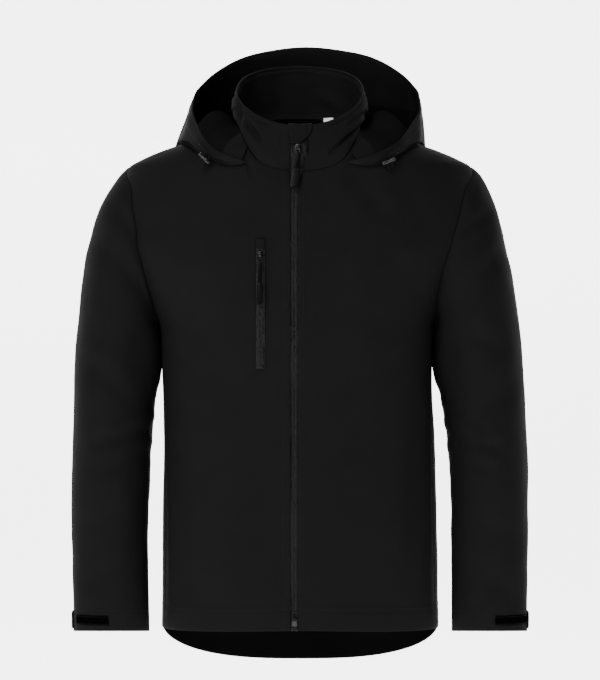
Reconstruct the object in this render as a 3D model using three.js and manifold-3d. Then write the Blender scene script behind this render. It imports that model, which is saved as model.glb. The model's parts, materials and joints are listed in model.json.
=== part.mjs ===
// A men's hooded softshell jacket in its worn shape, hollow, with nobody in it.
// Millimetres, +Z up, the front faces -Y, and +X is the wearer's left.
// The origin is the middle of the neck opening, level with the top of the shoulders.
// The shell is a stack of horizontal sections. A point on it is a turn in degrees,
// 0 at the centre front, 90 at the left side, 180 at the centre back, and a height.
import * as THREE from 'three';
import { mergeVertices } from 'three/addons/utils/BufferGeometryUtils.js';
import Module from 'manifold-3d';

const wasm = await Module();
wasm.setup();

// Cloth and seams
const CLOTH = 1.6;
const COLLAR_CLOTH = 3;
const SEAM_GAP = 0.4;
const ON_PANEL = 0.5;

// Heights that bound the main pieces
const HEM_Z = -727;
const FRONT_HEM_RISE = 5;
const TAIL_DROP = 62;
const TAIL_SHAPE = 2.2;
const CUFF_RISE = 4;
const UNDERARM_Z = -305;
const SHOULDER_TIP_Z = -68;
const SHOULDER_NECK_Z = -12;
const BACK_NECK_RISE = 17;
const NECK_FRONT_Z = -80;

// Rows and columns of the panels
const HEM_ROWS = 10;
const ARMHOLE_ROWS = 12;
const FRONT_NECK_COLUMNS = 7;
const SHOULDER_COLUMNS = 6;
const TOP_CROWDING = 1.6;

// Sections of the shell. right and left are half widths, front and back are depths,
// square is the power of the rounded outline. Above the underarm the widths are those
// of the arc that the chest would follow under the sleeve.
const SECTIONS = [
  { z: -800, right: 198, left: 199, front: 127, back: 120, square: 2.5 },
  { z: -727, right: 198, left: 198.5, front: 128, back: 121, square: 2.5 },
  { z: -600, right: 197, left: 196.5, front: 130, back: 122, square: 2.45 },
  { z: -440, right: 196.5, left: 192.5, front: 129, back: 120, square: 2.4 },
  { z: -369, right: 198, left: 190, front: 130, back: 121, square: 2.35 },
  { z: -305, right: 200, left: 191, front: 131, back: 123, square: 2.3 },
  { z: -266, right: 217, left: 200.5, front: 130, back: 124, square: 2.25 },
  { z: -212, right: 251, left: 229.5, front: 127, back: 124, square: 2.2 },
  { z: -173, right: 267, left: 250.5, front: 122, back: 122, square: 2.15 },
  { z: -130, right: 267.5, left: 258, front: 115, back: 118, square: 2.1 },
  { z: -100, right: 258, left: 253.5, front: 109, back: 112, square: 2.05 },
  { z: -68, right: 246, left: 247, front: 99, back: 102, square: 1.95 },
  { z: -57, right: 228, left: 229, front: 95.5, back: 99, square: 1.9 },
  { z: -40, right: 187, left: 188, front: 90, back: 92, square: 1.85 },
  { z: -26, right: 140, left: 140, front: 84, back: 84, square: 1.85 },
  { z: -12, right: 85, left: 85, front: 76, back: 70, square: 2 },
];
// The armhole edge, as a turn from the centre front or the centre back
const ARMHOLE = [
  { z: -305, turn: 90 },
  { z: -290, turn: 82.4 },
  { z: -266, turn: 73.3 },
  { z: -212, turn: 61.4 },
  { z: -173, turn: 58.9 },
  { z: -130, turn: 62 },
  { z: -100, turn: 69 },
  { z: -68, turn: 90 },
];
// The side seam leans towards the front below the underarm
const SIDE_SEAM = [
  { z: -800, turn: 73 },
  { z: -600, turn: 73.5 },
  { z: -440, turn: 77 },
  { z: -305, turn: 90 },
];
// The front neck seam from the centre front to the shoulder, seen from the front
const FRONT_NECK = [
  { x: 0, z: -80 },
  { x: 20, z: -78.5 },
  { x: 44, z: -73 },
  { x: 60, z: -64 },
  { x: 70, z: -52 },
  { x: 77, z: -38 },
  { x: 81.5, z: -25.5 },
  { x: 84, z: -18 },
  { x: 84.8, z: -14 },
  { x: 85, z: -12 },
];
// The edges that face each other at the centre front, and the middle of the zip
const CLOSING = [
  { z: -800, right: -14, left: -1.5, zip: -7.8 },
  { z: -130, right: -14.2, left: -1.4, zip: -7.7 },
  { z: -100, right: -14.3, left: 0.2, zip: -6.8 },
  { z: -75, right: -14.5, left: 5.5, zip: -4.5 },
  { z: -45, right: -14.5, left: 9.6, zip: -2.8 },
  { z: 0, right: -14.5, left: 9.8, zip: -2.6 },
];

// Sleeve: its outer and inner edges seen from the front, half its depth and its middle
// in y, from the armhole at share 0 to the cuff at share 1.
const SLEEVE = {
  right: [
    { share: 0, outerX: 246, outerZ: -68, innerX: 200, innerZ: -305, deep: 66, y: 0 },
    { share: 0.04, outerX: 259, outerZ: -81, innerX: 201, innerZ: -309, deep: 68, y: 0 },
    { share: 0.09, outerX: 278, outerZ: -109, innerX: 201.6, innerZ: -316, deep: 70, y: 0 },
    { share: 0.15, outerX: 292, outerZ: -140, innerX: 202.2, innerZ: -325, deep: 72, y: 0 },
    { share: 0.22, outerX: 305, outerZ: -188, innerX: 203, innerZ: -336, deep: 73, y: 0 },
    { share: 0.3, outerX: 313.5, outerZ: -240, innerX: 203.6, innerZ: -350, deep: 73, y: 0 },
    { share: 0.38, outerX: 318.5, outerZ: -291, innerX: 204.5, innerZ: -369, deep: 72, y: -1 },
    { share: 0.48, outerX: 323, outerZ: -355, innerX: 208.5, innerZ: -407, deep: 70, y: -3 },
    { share: 0.58, outerX: 326, outerZ: -420, innerX: 212, innerZ: -450, deep: 66, y: -6 },
    { share: 0.7, outerX: 327, outerZ: -508, innerX: 216, innerZ: -520, deep: 60, y: -11 },
    { share: 0.85, outerX: 325.5, outerZ: -620, innerX: 217, innerZ: -624, deep: 50, y: -18 },
    { share: 1, outerX: 323.5, outerZ: -733, innerX: 216, innerZ: -733, deep: 40, y: -25 },
  ],
  left: [
    { share: 0, outerX: 247, outerZ: -68, innerX: 191, innerZ: -305, deep: 66, y: 0 },
    { share: 0.04, outerX: 259, outerZ: -80, innerX: 191.8, innerZ: -309, deep: 68, y: 0 },
    { share: 0.09, outerX: 275, outerZ: -109, innerX: 192.4, innerZ: -316, deep: 70, y: 0 },
    { share: 0.15, outerX: 286, outerZ: -140, innerX: 193.2, innerZ: -325, deep: 72, y: 0 },
    { share: 0.22, outerX: 298.5, outerZ: -188, innerX: 194, innerZ: -336, deep: 73, y: 0 },
    { share: 0.3, outerX: 307.5, outerZ: -240, innerX: 194.6, innerZ: -350, deep: 73, y: 0 },
    { share: 0.38, outerX: 314.5, outerZ: -291, innerX: 196, innerZ: -369, deep: 72, y: -1 },
    { share: 0.48, outerX: 320.5, outerZ: -355, innerX: 204, innerZ: -407, deep: 70, y: -3 },
    { share: 0.58, outerX: 324.5, outerZ: -420, innerX: 210, innerZ: -450, deep: 66, y: -6 },
    { share: 0.7, outerX: 327, outerZ: -508, innerX: 215, innerZ: -520, deep: 60, y: -11 },
    { share: 0.85, outerX: 326, outerZ: -620, innerX: 217.5, innerZ: -624, deep: 50, y: -18 },
    { share: 1, outerX: 324.5, outerZ: -733, innerX: 217.5, innerZ: -733, deep: 40, y: -25 },
  ],
};
// Places of the rings down a sleeve, closer where it bends at the armhole and the elbow
const SLEEVE_RINGS = [
  0, 0.022, 0.05, 0.085, 0.12, 0.155, 0.19, 0.23, 0.27, 0.32, 0.37, 0.42, 0.47, 0.51,
  0.54, 0.57, 0.6, 0.63, 0.67, 0.72, 0.77, 0.82, 0.87, 0.92, 0.96, 1,
];
const CAP_SHARE = 0.3;

// Collar: the rim is an oval that tilts down to the front
const RIM_HALF = 91;
const RIM_FRONT = 84;
const RIM_BACK = 79;
const RIM_MIDDLE_Z = 34.5;
const RIM_TILT_Z = 49.5;
const RIM_SIDE_LIFT = 8.5;
const COLLAR_ROWS = 8;
const COLLAR_BULGE = 8;
const COLLAR_LIFT = 0.7;

// Hood, worn down. Each station runs from the front tip, neck 0, to the centre back,
// neck 1. rim is the face edge, keel the lowest line of the bowl, given on the shell
// as a turn and a height and moved out, and lean moves the wall between them.
const HOOD = [
  { neck: 0, rimRight: 77, rimLeft: 65, rimY: -99, rimZ: -67, turn: 19.5, z: -71, out: 2.6, lean: 0 },
  { neck: 0.07, rimRight: 90, rimLeft: 84, rimY: -97, rimZ: -62.5, turn: 22, z: -73, out: 3.5, lean: 0 },
  { neck: 0.14, rimRight: 106, rimLeft: 104, rimY: -92, rimZ: -56, turn: 25.5, z: -72, out: 4.5, lean: 1 },
  { neck: 0.22, rimRight: 121, rimLeft: 122, rimY: -83, rimZ: -48, turn: 30, z: -67, out: 5, lean: 2 },
  { neck: 0.31, rimRight: 134, rimLeft: 141, rimY: -67, rimZ: -35, turn: 39.5, z: -56, out: 5, lean: 2 },
  { neck: 0.41, rimRight: 148, rimLeft: 160, rimY: -24, rimZ: -8, turn: 57, z: -43, out: 5, lean: 1 },
  { neck: 0.51, rimRight: 156, rimLeft: 174, rimY: 16, rimZ: 18, turn: 90, z: -35, out: 5, lean: 0 },
  { neck: 0.61, rimRight: 153, rimLeft: 173, rimY: 50, rimZ: 41, turn: 119, z: -47, out: 9, lean: 3 },
  { neck: 0.71, rimRight: 141, rimLeft: 163, rimY: 78, rimZ: 60, turn: 139, z: -76, out: 15, lean: 7 },
  { neck: 0.81, rimRight: 117, rimLeft: 140, rimY: 107, rimZ: 83, turn: 151, z: -108, out: 24, lean: 11 },
  { neck: 0.91, rimRight: 70, rimLeft: 93, rimY: 131, rimZ: 107, turn: 164, z: -132, out: 28, lean: 14 },
  { neck: 1, rimRight: -9, rimLeft: 9, rimY: 142, rimZ: 119, turn: 180, z: -140, out: 30, lean: 16 },
];
const HOOD_STATIONS = 22;
const HOOD_FLOOR = [0, 0.12, 0.3, 0.55, 0.8, 1];
const HOOD_WALL = [0.2, 0.45, 0.7, 0.88, 1];
const HOOD_RIM_CLOTH = 2.6;
const HOOD_TIP_COLUMN = 3;
// The hood starts this far out from the neck seam, and its floor lies this far off the shell
const HOOD_ROOT_OUT = 3;
const HOOD_ROOT_UP = 1.6;
const HOOD_OVER = 1.2;
const HOOD_FLOOR_OUT = 2.5;
// Beside the collar the floor stands up before it falls over the shoulder
const HOOD_STAND = { at: 0.46, wide: 0.1, high: 28, out: 4, power: 0.62 };
// Half width and back depth of the neck seam
const NECK_HALF = 85;
const NECK_BACK = 70;
// Gathers in the hood's wall, at places along it from the right tip, 0, to the left tip, 2
const HOOD_GATHERS = [
  { at: 0.62, wide: 0.025, deep: 4 },
  { at: 0.72, wide: 0.02, deep: 5 },
  { at: 0.83, wide: 0.03, deep: 3.5 },
  { at: 1.13, wide: 0.03, deep: 4 },
  { at: 1.26, wide: 0.02, deep: 5.5 },
  { at: 1.37, wide: 0.022, deep: 4 },
];
// The largest soft folds: lines in X and Z with a width and a depth, seen from the front
const FOLDS = [
  { piece: 'collar', x1: -83, z1: 13, x2: -78, z2: -26, wide: 5, deep: 2.4 },
  { piece: 'collar', x1: -80, z1: 0, x2: -54, z2: -39, wide: 5, deep: 2 },
  { piece: 'collar', x1: 84, z1: -18, x2: 44, z2: -56, wide: 6, deep: 2.6 },
  { piece: 'collar', x1: -40, z1: 30, x2: -62, z2: 62, wide: 9, deep: 2, back: true },
  { piece: 'collar', x1: 30, z1: 40, x2: 58, z2: 20, wide: 8, deep: 2.2, back: true },
  { piece: 'front', x1: -168, z1: -473, x2: -156, z2: -665, wide: 16, deep: 3 },
  { piece: 'front', x1: -150, z1: -250, x2: -104, z2: -400, wide: 22, deep: 2.6 },
  { piece: 'front', x1: 160, z1: -440, x2: 152, z2: -655, wide: 16, deep: 2.8 },
  { piece: 'front', x1: 152, z1: -230, x2: 100, z2: -390, wide: 24, deep: 2.8 },
  { piece: 'back', x1: -90, z1: -430, x2: -110, z2: -700, wide: 24, deep: 3, back: true },
  { piece: 'back', x1: 96, z1: -460, x2: 84, z2: -700, wide: 26, deep: 3.2, back: true },
  { piece: 'back', x1: -150, z1: -240, x2: -70, z2: -180, wide: 24, deep: 3.2, back: true },
  { piece: 'back', x1: 150, z1: -240, x2: 62, z2: -200, wide: 26, deep: 3.4, back: true },
  { piece: 'sleeve_left', x1: 286, z1: -190, x2: 216, z2: -268, wide: 15, deep: 3.4 },
  { piece: 'sleeve_left', x1: 212, z1: -424, x2: 262, z2: -446, wide: 10, deep: 3.2 },
  { piece: 'sleeve_left', x1: 216, z1: -458, x2: 282, z2: -480, wide: 11, deep: 3.6 },
  { piece: 'sleeve_left', x1: 304, z1: -424, x2: 236, z2: -470, wide: 12, deep: 3.6, back: true },
  { piece: 'sleeve_left', x1: 280, z1: -150, x2: 214, z2: -236, wide: 15, deep: 3.4, back: true },
  { piece: 'sleeve_right', x1: -286, z1: -176, x2: -224, z2: -246, wide: 15, deep: 3.2 },
  { piece: 'sleeve_right', x1: -214, z1: -412, x2: -260, z2: -432, wide: 10, deep: 3 },
  { piece: 'sleeve_right', x1: -216, z1: -450, x2: -284, z2: -468, wide: 11, deep: 3.4 },
  { piece: 'sleeve_right', x1: -306, z1: -430, x2: -236, z2: -462, wide: 12, deep: 3.6, back: true },
  { piece: 'sleeve_right', x1: -284, z1: -156, x2: -220, z2: -250, wide: 15, deep: 3.2, back: true },
];
// A panel's folds fade out within this share of its width and height from its edges
const FOLD_FADE = 0.12;

// Front zip
const ZIP_SIDE_GAP = 0.5;
const ZIP_TOP_GAP = 3;
const ZIP_RECESS = 0.9;
const COIL_RECESS = 0.1;
const COIL_HALF = 2.4;
const COIL_LIFT = 0.8;
const TAPE = 1.2;
const SLIDER_LIFT = 0.3;
const FRONT_SLIDER_Z = -48;
const FRONT_SLIDER = { wide: 4.6, narrow: 3.4, length: 12.4, thick: 3 };
const FRONT_PULL = { neck: 4, neckEnd: 31, grip: 6.2, gripEnd: 54, tip: 61, lean: 0.11 };
const STOP = { z: -716, wide: 7.6, long: 12, lift: 0.3, thick: 2.6 };

// Crown of a slider and loop of its pull: the bar turns in the crown's hole
const CROWN_HALF = 1.3;
const CROWN_LONG = 4;
const CROWN_GAP = 2.4;
const CROWN_HOLE = 2.8;
const CROWN_WALL = 1;
const PULL_PLATE = 1.4;
const LOOP_HALF = 3.2;
const LOOP_GAP = 1.8;
const LOOP_END = 9;

// Chin guard: its left and right edges in front of the collar, from the bottom to the rim
const GUARD = [
  { z: -41, left: -12.7, right: -5 },
  { z: -39.6, left: -12.8, right: -0.5 },
  { z: -37, left: -13, right: 3.4 },
  { z: -33.8, left: -13.4, right: 7 },
  { z: -30, left: -14, right: 10.8 },
  { z: -26, left: -14.7, right: 13.5 },
  { z: -21, left: -15.3, right: 15.2 },
  { z: -15.4, left: -16.1, right: 16.4 },
];
const GUARD_COLUMNS = 6;
const GUARD_CLOTH = 1.5;
const GUARD_INSIDE = [5, 10];

// Chest pocket on the right front
const CHEST = { x: -55, half: 6.2, bottom: -357, garage: -190, top: -177, slider: -199 };
const CHEST_STEPS = 16;
const CHEST_SLIDER = { wide: 4, narrow: 3, length: 11, thick: 2.6 };
const CHEST_PULL = { neck: 2.6, neckEnd: 40, grip: 4, gripEnd: 66, tip: 71, lean: 0 };

// Cuffs: places round a ring, 0 at the outer edge and 6 at the front, and heights
const CUFF_PATCH = { right: { from: 1.9, to: 5.9 }, left: { from: 1.2, to: 5.6 }, low: -721, high: -708 };
const CUFF_TAB = { from: -7.3, to: 0.8, low: -728, high: -705 };
const PATCH_CLOTH = 1.2;
const TAB_CLOTH = 2;

// Hood cord: where its eyelet sits on the wall, the toggle's middle and its tilt, and
// the points of its two strands above the toggle and below it
const HOOD_CORD = {
  right: {
    at: 0.31,
    wall: 2.2,
    lock: { x: -134.5, y: -92, z: -61.4 },
    angle: -45,
    strands: [
      {
        top: [[-140.8, -73.1, -42.4], [-142.2, -75.4, -40.6], [-132.7, -92, -53.9], [-134.8, -92, -56]],
        end: [[-139.9, -92, -61.1], [-140.9, -92, -62.2], [-142.8, -92, -67.9]],
      },
      {
        top: [[-139.1, -73.1, -44.1], [-140.1, -75.4, -42.7], [-127, -92, -59.6], [-129.1, -92, -61.7]],
        end: [[-134.2, -92, -66.8], [-135.3, -92, -67.8], [-137.1, -92, -73.6]],
      },
    ],
  },
  left: {
    at: 1.72,
    wall: 2,
    lock: { x: 124.5, y: -95, z: -66 },
    angle: 22,
    strands: [
      {
        top: [[136.3, -79.7, -49.5], [137.4, -82.1, -48.5], [119.2, -95, -61], [120.4, -95, -63.8]],
        end: [[123.1, -95, -70.5], [123.6, -95, -71.9], [124.5, -95, -77.8]],
      },
      {
        top: [[138.5, -79.7, -48.6], [140.2, -82.1, -47.4], [124.8, -95, -58.8], [125.9, -95, -61.5]],
        end: [[128.6, -95, -68.2], [129.2, -95, -69.6], [130.1, -95, -75.5]],
      },
    ],
  },
};
const EYELET_LIFT = 0.4;
const LOCK_LENGTH = 19.6;
const LOCK_RADIUS = 3;
const CORD_RADIUS = 0.95;
const CORD_SIDES = 8;

const LABEL = { x: 41.5, y: 56, z: -3.5, wide: 15, high: 21, turn: -25.7 };
const LABEL_CLOTH = 1;

const DEGREE = Math.PI / 180;
const SIDES = { right: -1, left: 1 };
const UP = new THREE.Vector3(0, 0, 1);

function curve(rows, name, key = 'z') {
  // Returns a smooth function of key through one column of a table, with no overshoot.
  const secants = rows.slice(1).map((row, i) => {
    return (row[name] - rows[i][name]) / (row[key] - rows[i][key]);
  });
  const slopes = rows.map((row, i) => {
    const before = secants[Math.max(i - 1, 0)];
    const after = secants[Math.min(i, secants.length - 1)];
    return before * after <= 0 ? 0 : (2 * before * after) / (before + after);
  });
  return (at) => {
    const last = rows.length - 2;
    let i = 0;
    while (i < last && at > rows[i + 1][key]) i += 1;
    const step = rows[i + 1][key] - rows[i][key];
    const t = THREE.MathUtils.clamp((at - rows[i][key]) / step, 0, 1);
    const rest = 1 - t;
    return rows[i][name] * rest * rest * (1 + 2 * t)
      + rows[i + 1][name] * t * t * (3 - 2 * t)
      + step * t * rest * (slopes[i] * rest - slopes[i + 1] * t);
  };
}

const width = { right: curve(SECTIONS, 'right'), left: curve(SECTIONS, 'left') };
const depth = { front: curve(SECTIONS, 'front'), back: curve(SECTIONS, 'back') };
const square = curve(SECTIONS, 'square');
const armholeTurn = curve(ARMHOLE, 'turn');
const sideTurn = curve(SIDE_SEAM, 'turn');
const neckZ = curve(FRONT_NECK, 'z', 'x');
const closing = {
  right: curve(CLOSING, 'right'),
  left: curve(CLOSING, 'left'),
  zip: curve(CLOSING, 'zip'),
};

function shell(turn, z) {
  const across = Math.sin(turn * DEGREE);
  const along = Math.cos(turn * DEGREE);
  const power = 2 / square(z);
  const half = width[across < 0 ? 'right' : 'left'](z);
  const deep = depth[along > 0 ? 'front' : 'back'](z);
  return new THREE.Vector3(
    Math.sign(across) * half * Math.abs(across) ** power,
    -Math.sign(along) * deep * Math.abs(along) ** power,
    z,
  );
}

function turnAt(x, z) {
  // The turn, from -90 to 90, at which the shell's front has this x.
  const half = width[x < 0 ? 'right' : 'left'](z);
  const share = Math.min(Math.abs(x) / half, 1) ** (square(z) / 2);
  return (Math.sign(x) * Math.asin(share)) / DEGREE;
}

function shellNormal(turn, z) {
  const around = shell(turn + 1, z).sub(shell(turn - 1, z));
  const upward = shell(turn, z + 1).sub(shell(turn, z - 1));
  return around.cross(upward).normalize();
}

function spaced(points, count) {
  // Returns count + 1 points evenly spaced along a polyline.
  const along = [0];
  points.slice(1).forEach((p, i) => along.push(along[i] + p.distanceTo(points[i])));
  const total = along[along.length - 1];
  return Array.from({ length: count + 1 }, (_, k) => {
    const at = (total * k) / count;
    let i = 0;
    while (i < points.length - 2 && along[i + 1] < at) i += 1;
    const share = (at - along[i]) / (along[i + 1] - along[i]);
    return points[i].clone().lerp(points[i + 1], share);
  });
}

function armholeEdge() {
  // Turn and height at even steps along the edge, from the underarm to the shoulder tip.
  const fine = 120;
  const marks = Array.from({ length: fine + 1 }, (_, i) => {
    const z = UNDERARM_Z + ((SHOULDER_TIP_Z - UNDERARM_Z) * (1 - Math.cos((Math.PI * i) / fine))) / 2;
    return { z, point: shell(armholeTurn(z), z) };
  });
  const even = spaced(marks.map((mark) => mark.point), ARMHOLE_ROWS);
  return even.map((p) => ({ turn: armholeTurn(p.z), z: p.z }));
}
const ARMHOLE_EDGE = armholeEdge();

function frontNeckEdge(side) {
  // Evenly spaced points of the front neck seam, from the closing edge to the shoulder.
  const start = closing[side](NECK_FRONT_Z);
  const end = SIDES[side] * width[side](SHOULDER_NECK_Z);
  const fine = 200;
  const points = Array.from({ length: fine + 1 }, (_, i) => {
    const x = start + (end - start) * Math.sin((Math.PI / 2) * (i / fine));
    const z = neckZ(Math.abs(x));
    return shell(turnAt(x, z), z);
  });
  return spaced(points, FRONT_NECK_COLUMNS);
}
const FRONT_NECK_EDGE = { right: frontNeckEdge('right'), left: frontNeckEdge('left') };

function shoulder(share) {
  // The height of the shoulder seam from the neck, share 0, to the tip, share 1.
  return SHOULDER_NECK_Z + (SHOULDER_TIP_Z - SHOULDER_NECK_Z) * share;
}

function patch(bottom, top, start, end, u, w) {
  // A Coons patch of plain numbers from its four edges.
  const corners = (1 - u) * (1 - w) * bottom(0) + u * (1 - w) * bottom(1)
    + (1 - u) * w * top(0) + u * w * top(1);
  return (1 - w) * bottom(u) + w * top(u) + (1 - u) * start + u * end - corners;
}

function hemLift(turn) {
  // How far the hem lies above the side hem; the back drops into a tail.
  const across = Math.abs(Math.sin(turn * DEGREE));
  if (Math.cos(turn * DEGREE) > 0) return FRONT_HEM_RISE * (1 - across);
  return -TAIL_DROP * Math.sqrt(1 - across ** TAIL_SHAPE);
}

function skirtRow(row, turns) {
  // One row of points between the hem, row 0, and the underarm.
  const level = row / HEM_ROWS;
  return turns.map((turn) => {
    const z = HEM_Z + (UNDERARM_Z - HEM_Z) * level + hemLift(turn) * (1 - level) ** 2;
    return shell(turn, z);
  });
}

function foldDepth(piece, point) {
  // How deep the piece's soft folds are at a point; a fold is a line seen from the front
  // or, where it is marked, from the back.
  return FOLDS.filter((fold) => fold.piece === piece).reduce((sum, fold) => {
    if (fold.back ? point.y < 0 : point.y > 0) return sum;
    const dx = fold.x2 - fold.x1;
    const dz = fold.z2 - fold.z1;
    const along = ((point.x - fold.x1) * dx + (point.z - fold.z1) * dz) / (dx * dx + dz * dz);
    const share = THREE.MathUtils.clamp(along, 0, 1);
    const away = Math.hypot(point.x - fold.x1 - dx * share, point.z - fold.z1 - dz * share);
    return sum + fold.deep * Math.exp(-((away / fold.wide) ** 2));
  }, 0);
}

function fade(share) {
  // 0 at both edges of a panel and 1 a little way in.
  return THREE.MathUtils.smoothstep(Math.min(share, 1 - share), 0, FOLD_FADE);
}

function folded(rows, piece) {
  // Sinks a panel's folds into the shell, and leaves its edges where they are.
  rows.forEach((row, r) => row.forEach((p, c) => {
    const calm = fade(r / (rows.length - 1)) * fade(c / (row.length - 1));
    const depth = calm * foldDepth(piece, p);
    if (depth > 0) p.addScaledVector(shellNormal(turnOf(p), p.z), -depth);
  }));
  return rows;
}

function frontPanel(side) {
  // Rows from the hem up, columns from the closing edge to the side.
  const sign = SIDES[side];
  const columns = FRONT_NECK_COLUMNS + SHOULDER_COLUMNS;
  const shares = Array.from({ length: columns + 1 }, (_, i) => i / columns);
  const neckShare = FRONT_NECK_COLUMNS / columns;
  const rows = [];
  for (let row = 0; row < HEM_ROWS; row += 1) {
    const z = HEM_Z + ((UNDERARM_Z - HEM_Z) * row) / HEM_ROWS;
    const first = turnAt(closing[side](z), z);
    const last = sign * sideTurn(z);
    rows.push(skirtRow(row, shares.map((u) => first + (last - first) * u)));
  }
  const bottomTurn = (u) => {
    const first = turnAt(closing[side](UNDERARM_Z), UNDERARM_Z);
    return first + (sign * 90 - first) * u;
  };
  const top = (u) => {
    if (u <= neckShare) return FRONT_NECK_EDGE[side][Math.round(u * columns)];
    const z = shoulder((u - neckShare) / (1 - neckShare));
    return new THREE.Vector3(sign * width[side](z), 0, z);
  };
  for (let row = 0; row <= ARMHOLE_ROWS; row += 1) {
    const w = 1 - (1 - row / ARMHOLE_ROWS) ** TOP_CROWDING;
    const closingZ = UNDERARM_Z + (FRONT_NECK_EDGE[side][0].z - UNDERARM_Z) * w;
    const arm = shell(sign * ARMHOLE_EDGE[row].turn, ARMHOLE_EDGE[row].z);
    rows.push(shares.map((u) => {
      const x = patch((s) => shell(bottomTurn(s), UNDERARM_Z).x, (s) => top(s).x,
        closing[side](closingZ), arm.x, u, w);
      const z = patch(() => UNDERARM_Z, (s) => top(s).z, closingZ, arm.z, u, w);
      if (u === 1) return arm;
      return row === ARMHOLE_ROWS ? top(u).clone() : shell(turnAt(x, z), z);
    }));
  }
  return folded(rows, 'front');
}

function backTurn(x, z) {
  return 180 - turnAt(x, z);
}

function neckLift(turn) {
  // The back neck seam rises from the shoulders to the centre back.
  return BACK_NECK_RISE * Math.max(-Math.cos(turn * DEGREE), 0) ** 1.3;
}

function backPanel() {
  // Rows from the hem up, columns from the left side round the back to the right side.
  const neckColumns = 2 * SHOULDER_COLUMNS;
  const columns = 2 * SHOULDER_COLUMNS + neckColumns;
  const shares = Array.from({ length: columns + 1 }, (_, i) => i / columns);
  const rows = [];
  for (let row = 0; row < HEM_ROWS; row += 1) {
    const z = HEM_Z + ((UNDERARM_Z - HEM_Z) * row) / HEM_ROWS;
    rows.push(skirtRow(row, shares.map((u) => sideTurn(z) + (360 - 2 * sideTurn(z)) * u)));
  }
  const neckTurn = (u) => 90 + 180 * THREE.MathUtils.clamp(2 * u - 0.5, 0, 1);
  const top = (u) => {
    if (u >= 0.25 && u <= 0.75) return shell(neckTurn(u), SHOULDER_NECK_Z);
    const side = u < 0.5 ? 'left' : 'right';
    const z = shoulder(u < 0.5 ? 1 - u / 0.25 : (u - 0.75) / 0.25);
    return new THREE.Vector3(SIDES[side] * width[side](z), 0, z);
  };
  for (let row = 0; row <= ARMHOLE_ROWS; row += 1) {
    const w = 1 - (1 - row / ARMHOLE_ROWS) ** TOP_CROWDING;
    const { turn, z: armZ } = ARMHOLE_EDGE[row];
    const start = shell(180 - turn, armZ);
    const end = shell(180 + turn, armZ);
    rows.push(shares.map((u, i) => {
      if (i === 0) return start;
      if (i === columns) return end;
      const bottom = (s) => shell(90 + 180 * s, UNDERARM_Z).x;
      const x = patch(bottom, (s) => top(s).x, start.x, end.x, u, w);
      const z = patch(() => UNDERARM_Z, (s) => top(s).z, start.z, end.z, u, w);
      const point = row === ARMHOLE_ROWS ? top(u) : shell(backTurn(x, z), z);
      const rise = neckLift(neckTurn(u)) * w ** 6;
      return point.add(new THREE.Vector3(0, 0, rise));
    }));
  }
  return folded(rows, 'back');
}

function trim(rows, edge, amount) {
  // Moves one edge of a grid of points back into the panel, for the gap at a seam.
  const last = rows.length - 1;
  const end = rows[0].length - 1;
  const pull = (row, column, nextRow, nextColumn) => {
    const point = rows[row][column];
    const inward = rows[nextRow][nextColumn].clone().sub(point).setLength(amount);
    point.add(inward);
  };
  if (edge === 'top') rows[last].forEach((_, i) => pull(last, i, last - 1, i));
  if (edge === 'start') rows.forEach((_, i) => pull(i, 0, i, 1));
  if (edge === 'end') rows.forEach((_, i) => pull(i, end, i, end - 1));
}

function gridNormals(rows, wraps) {
  // Normals of a grid of points by differences between neighbours.
  const count = rows[0].length;
  return rows.map((row, r) => row.map((_, c) => {
    const above = rows[Math.min(r + 1, rows.length - 1)][c];
    const below = rows[Math.max(r - 1, 0)][c];
    const next = wraps ? row[(c + 1) % count] : row[Math.min(c + 1, count - 1)];
    const before = wraps ? row[(c + count - 1) % count] : row[Math.max(c - 1, 0)];
    return next.clone().sub(before).cross(above.clone().sub(below)).normalize();
  }));
}

function turnOf(point) {
  // The turn of a point that lies on the shell.
  const power = square(point.z) / 2;
  const half = width[point.x < 0 ? 'right' : 'left'](point.z);
  const deep = depth[point.y < 0 ? 'front' : 'back'](point.z);
  const across = Math.sign(point.x) * (Math.abs(point.x) / half) ** power;
  const along = -Math.sign(point.y) * (Math.abs(point.y) / deep) ** power;
  return Math.atan2(across, along) / DEGREE;
}

function panelNormals(rows, flip) {
  // Normals of a body panel; at its seams they are the shell's own, so that two
  // panels meet squarely.
  const normals = gridNormals(rows, false).map((row) => row.map((n) => n.multiplyScalar(flip ? -1 : 1)));
  const end = rows[0].length - 1;
  rows.forEach((row, r) => row.forEach((p, c) => {
    const onShoulder = r === rows.length - 1 && p.z <= SHOULDER_NECK_Z && Math.abs(p.y) < 1;
    if (c === 0 || c === end || onShoulder) normals[r][c] = shellNormal(turnOf(p), p.z);
  }));
  return normals;
}

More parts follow.
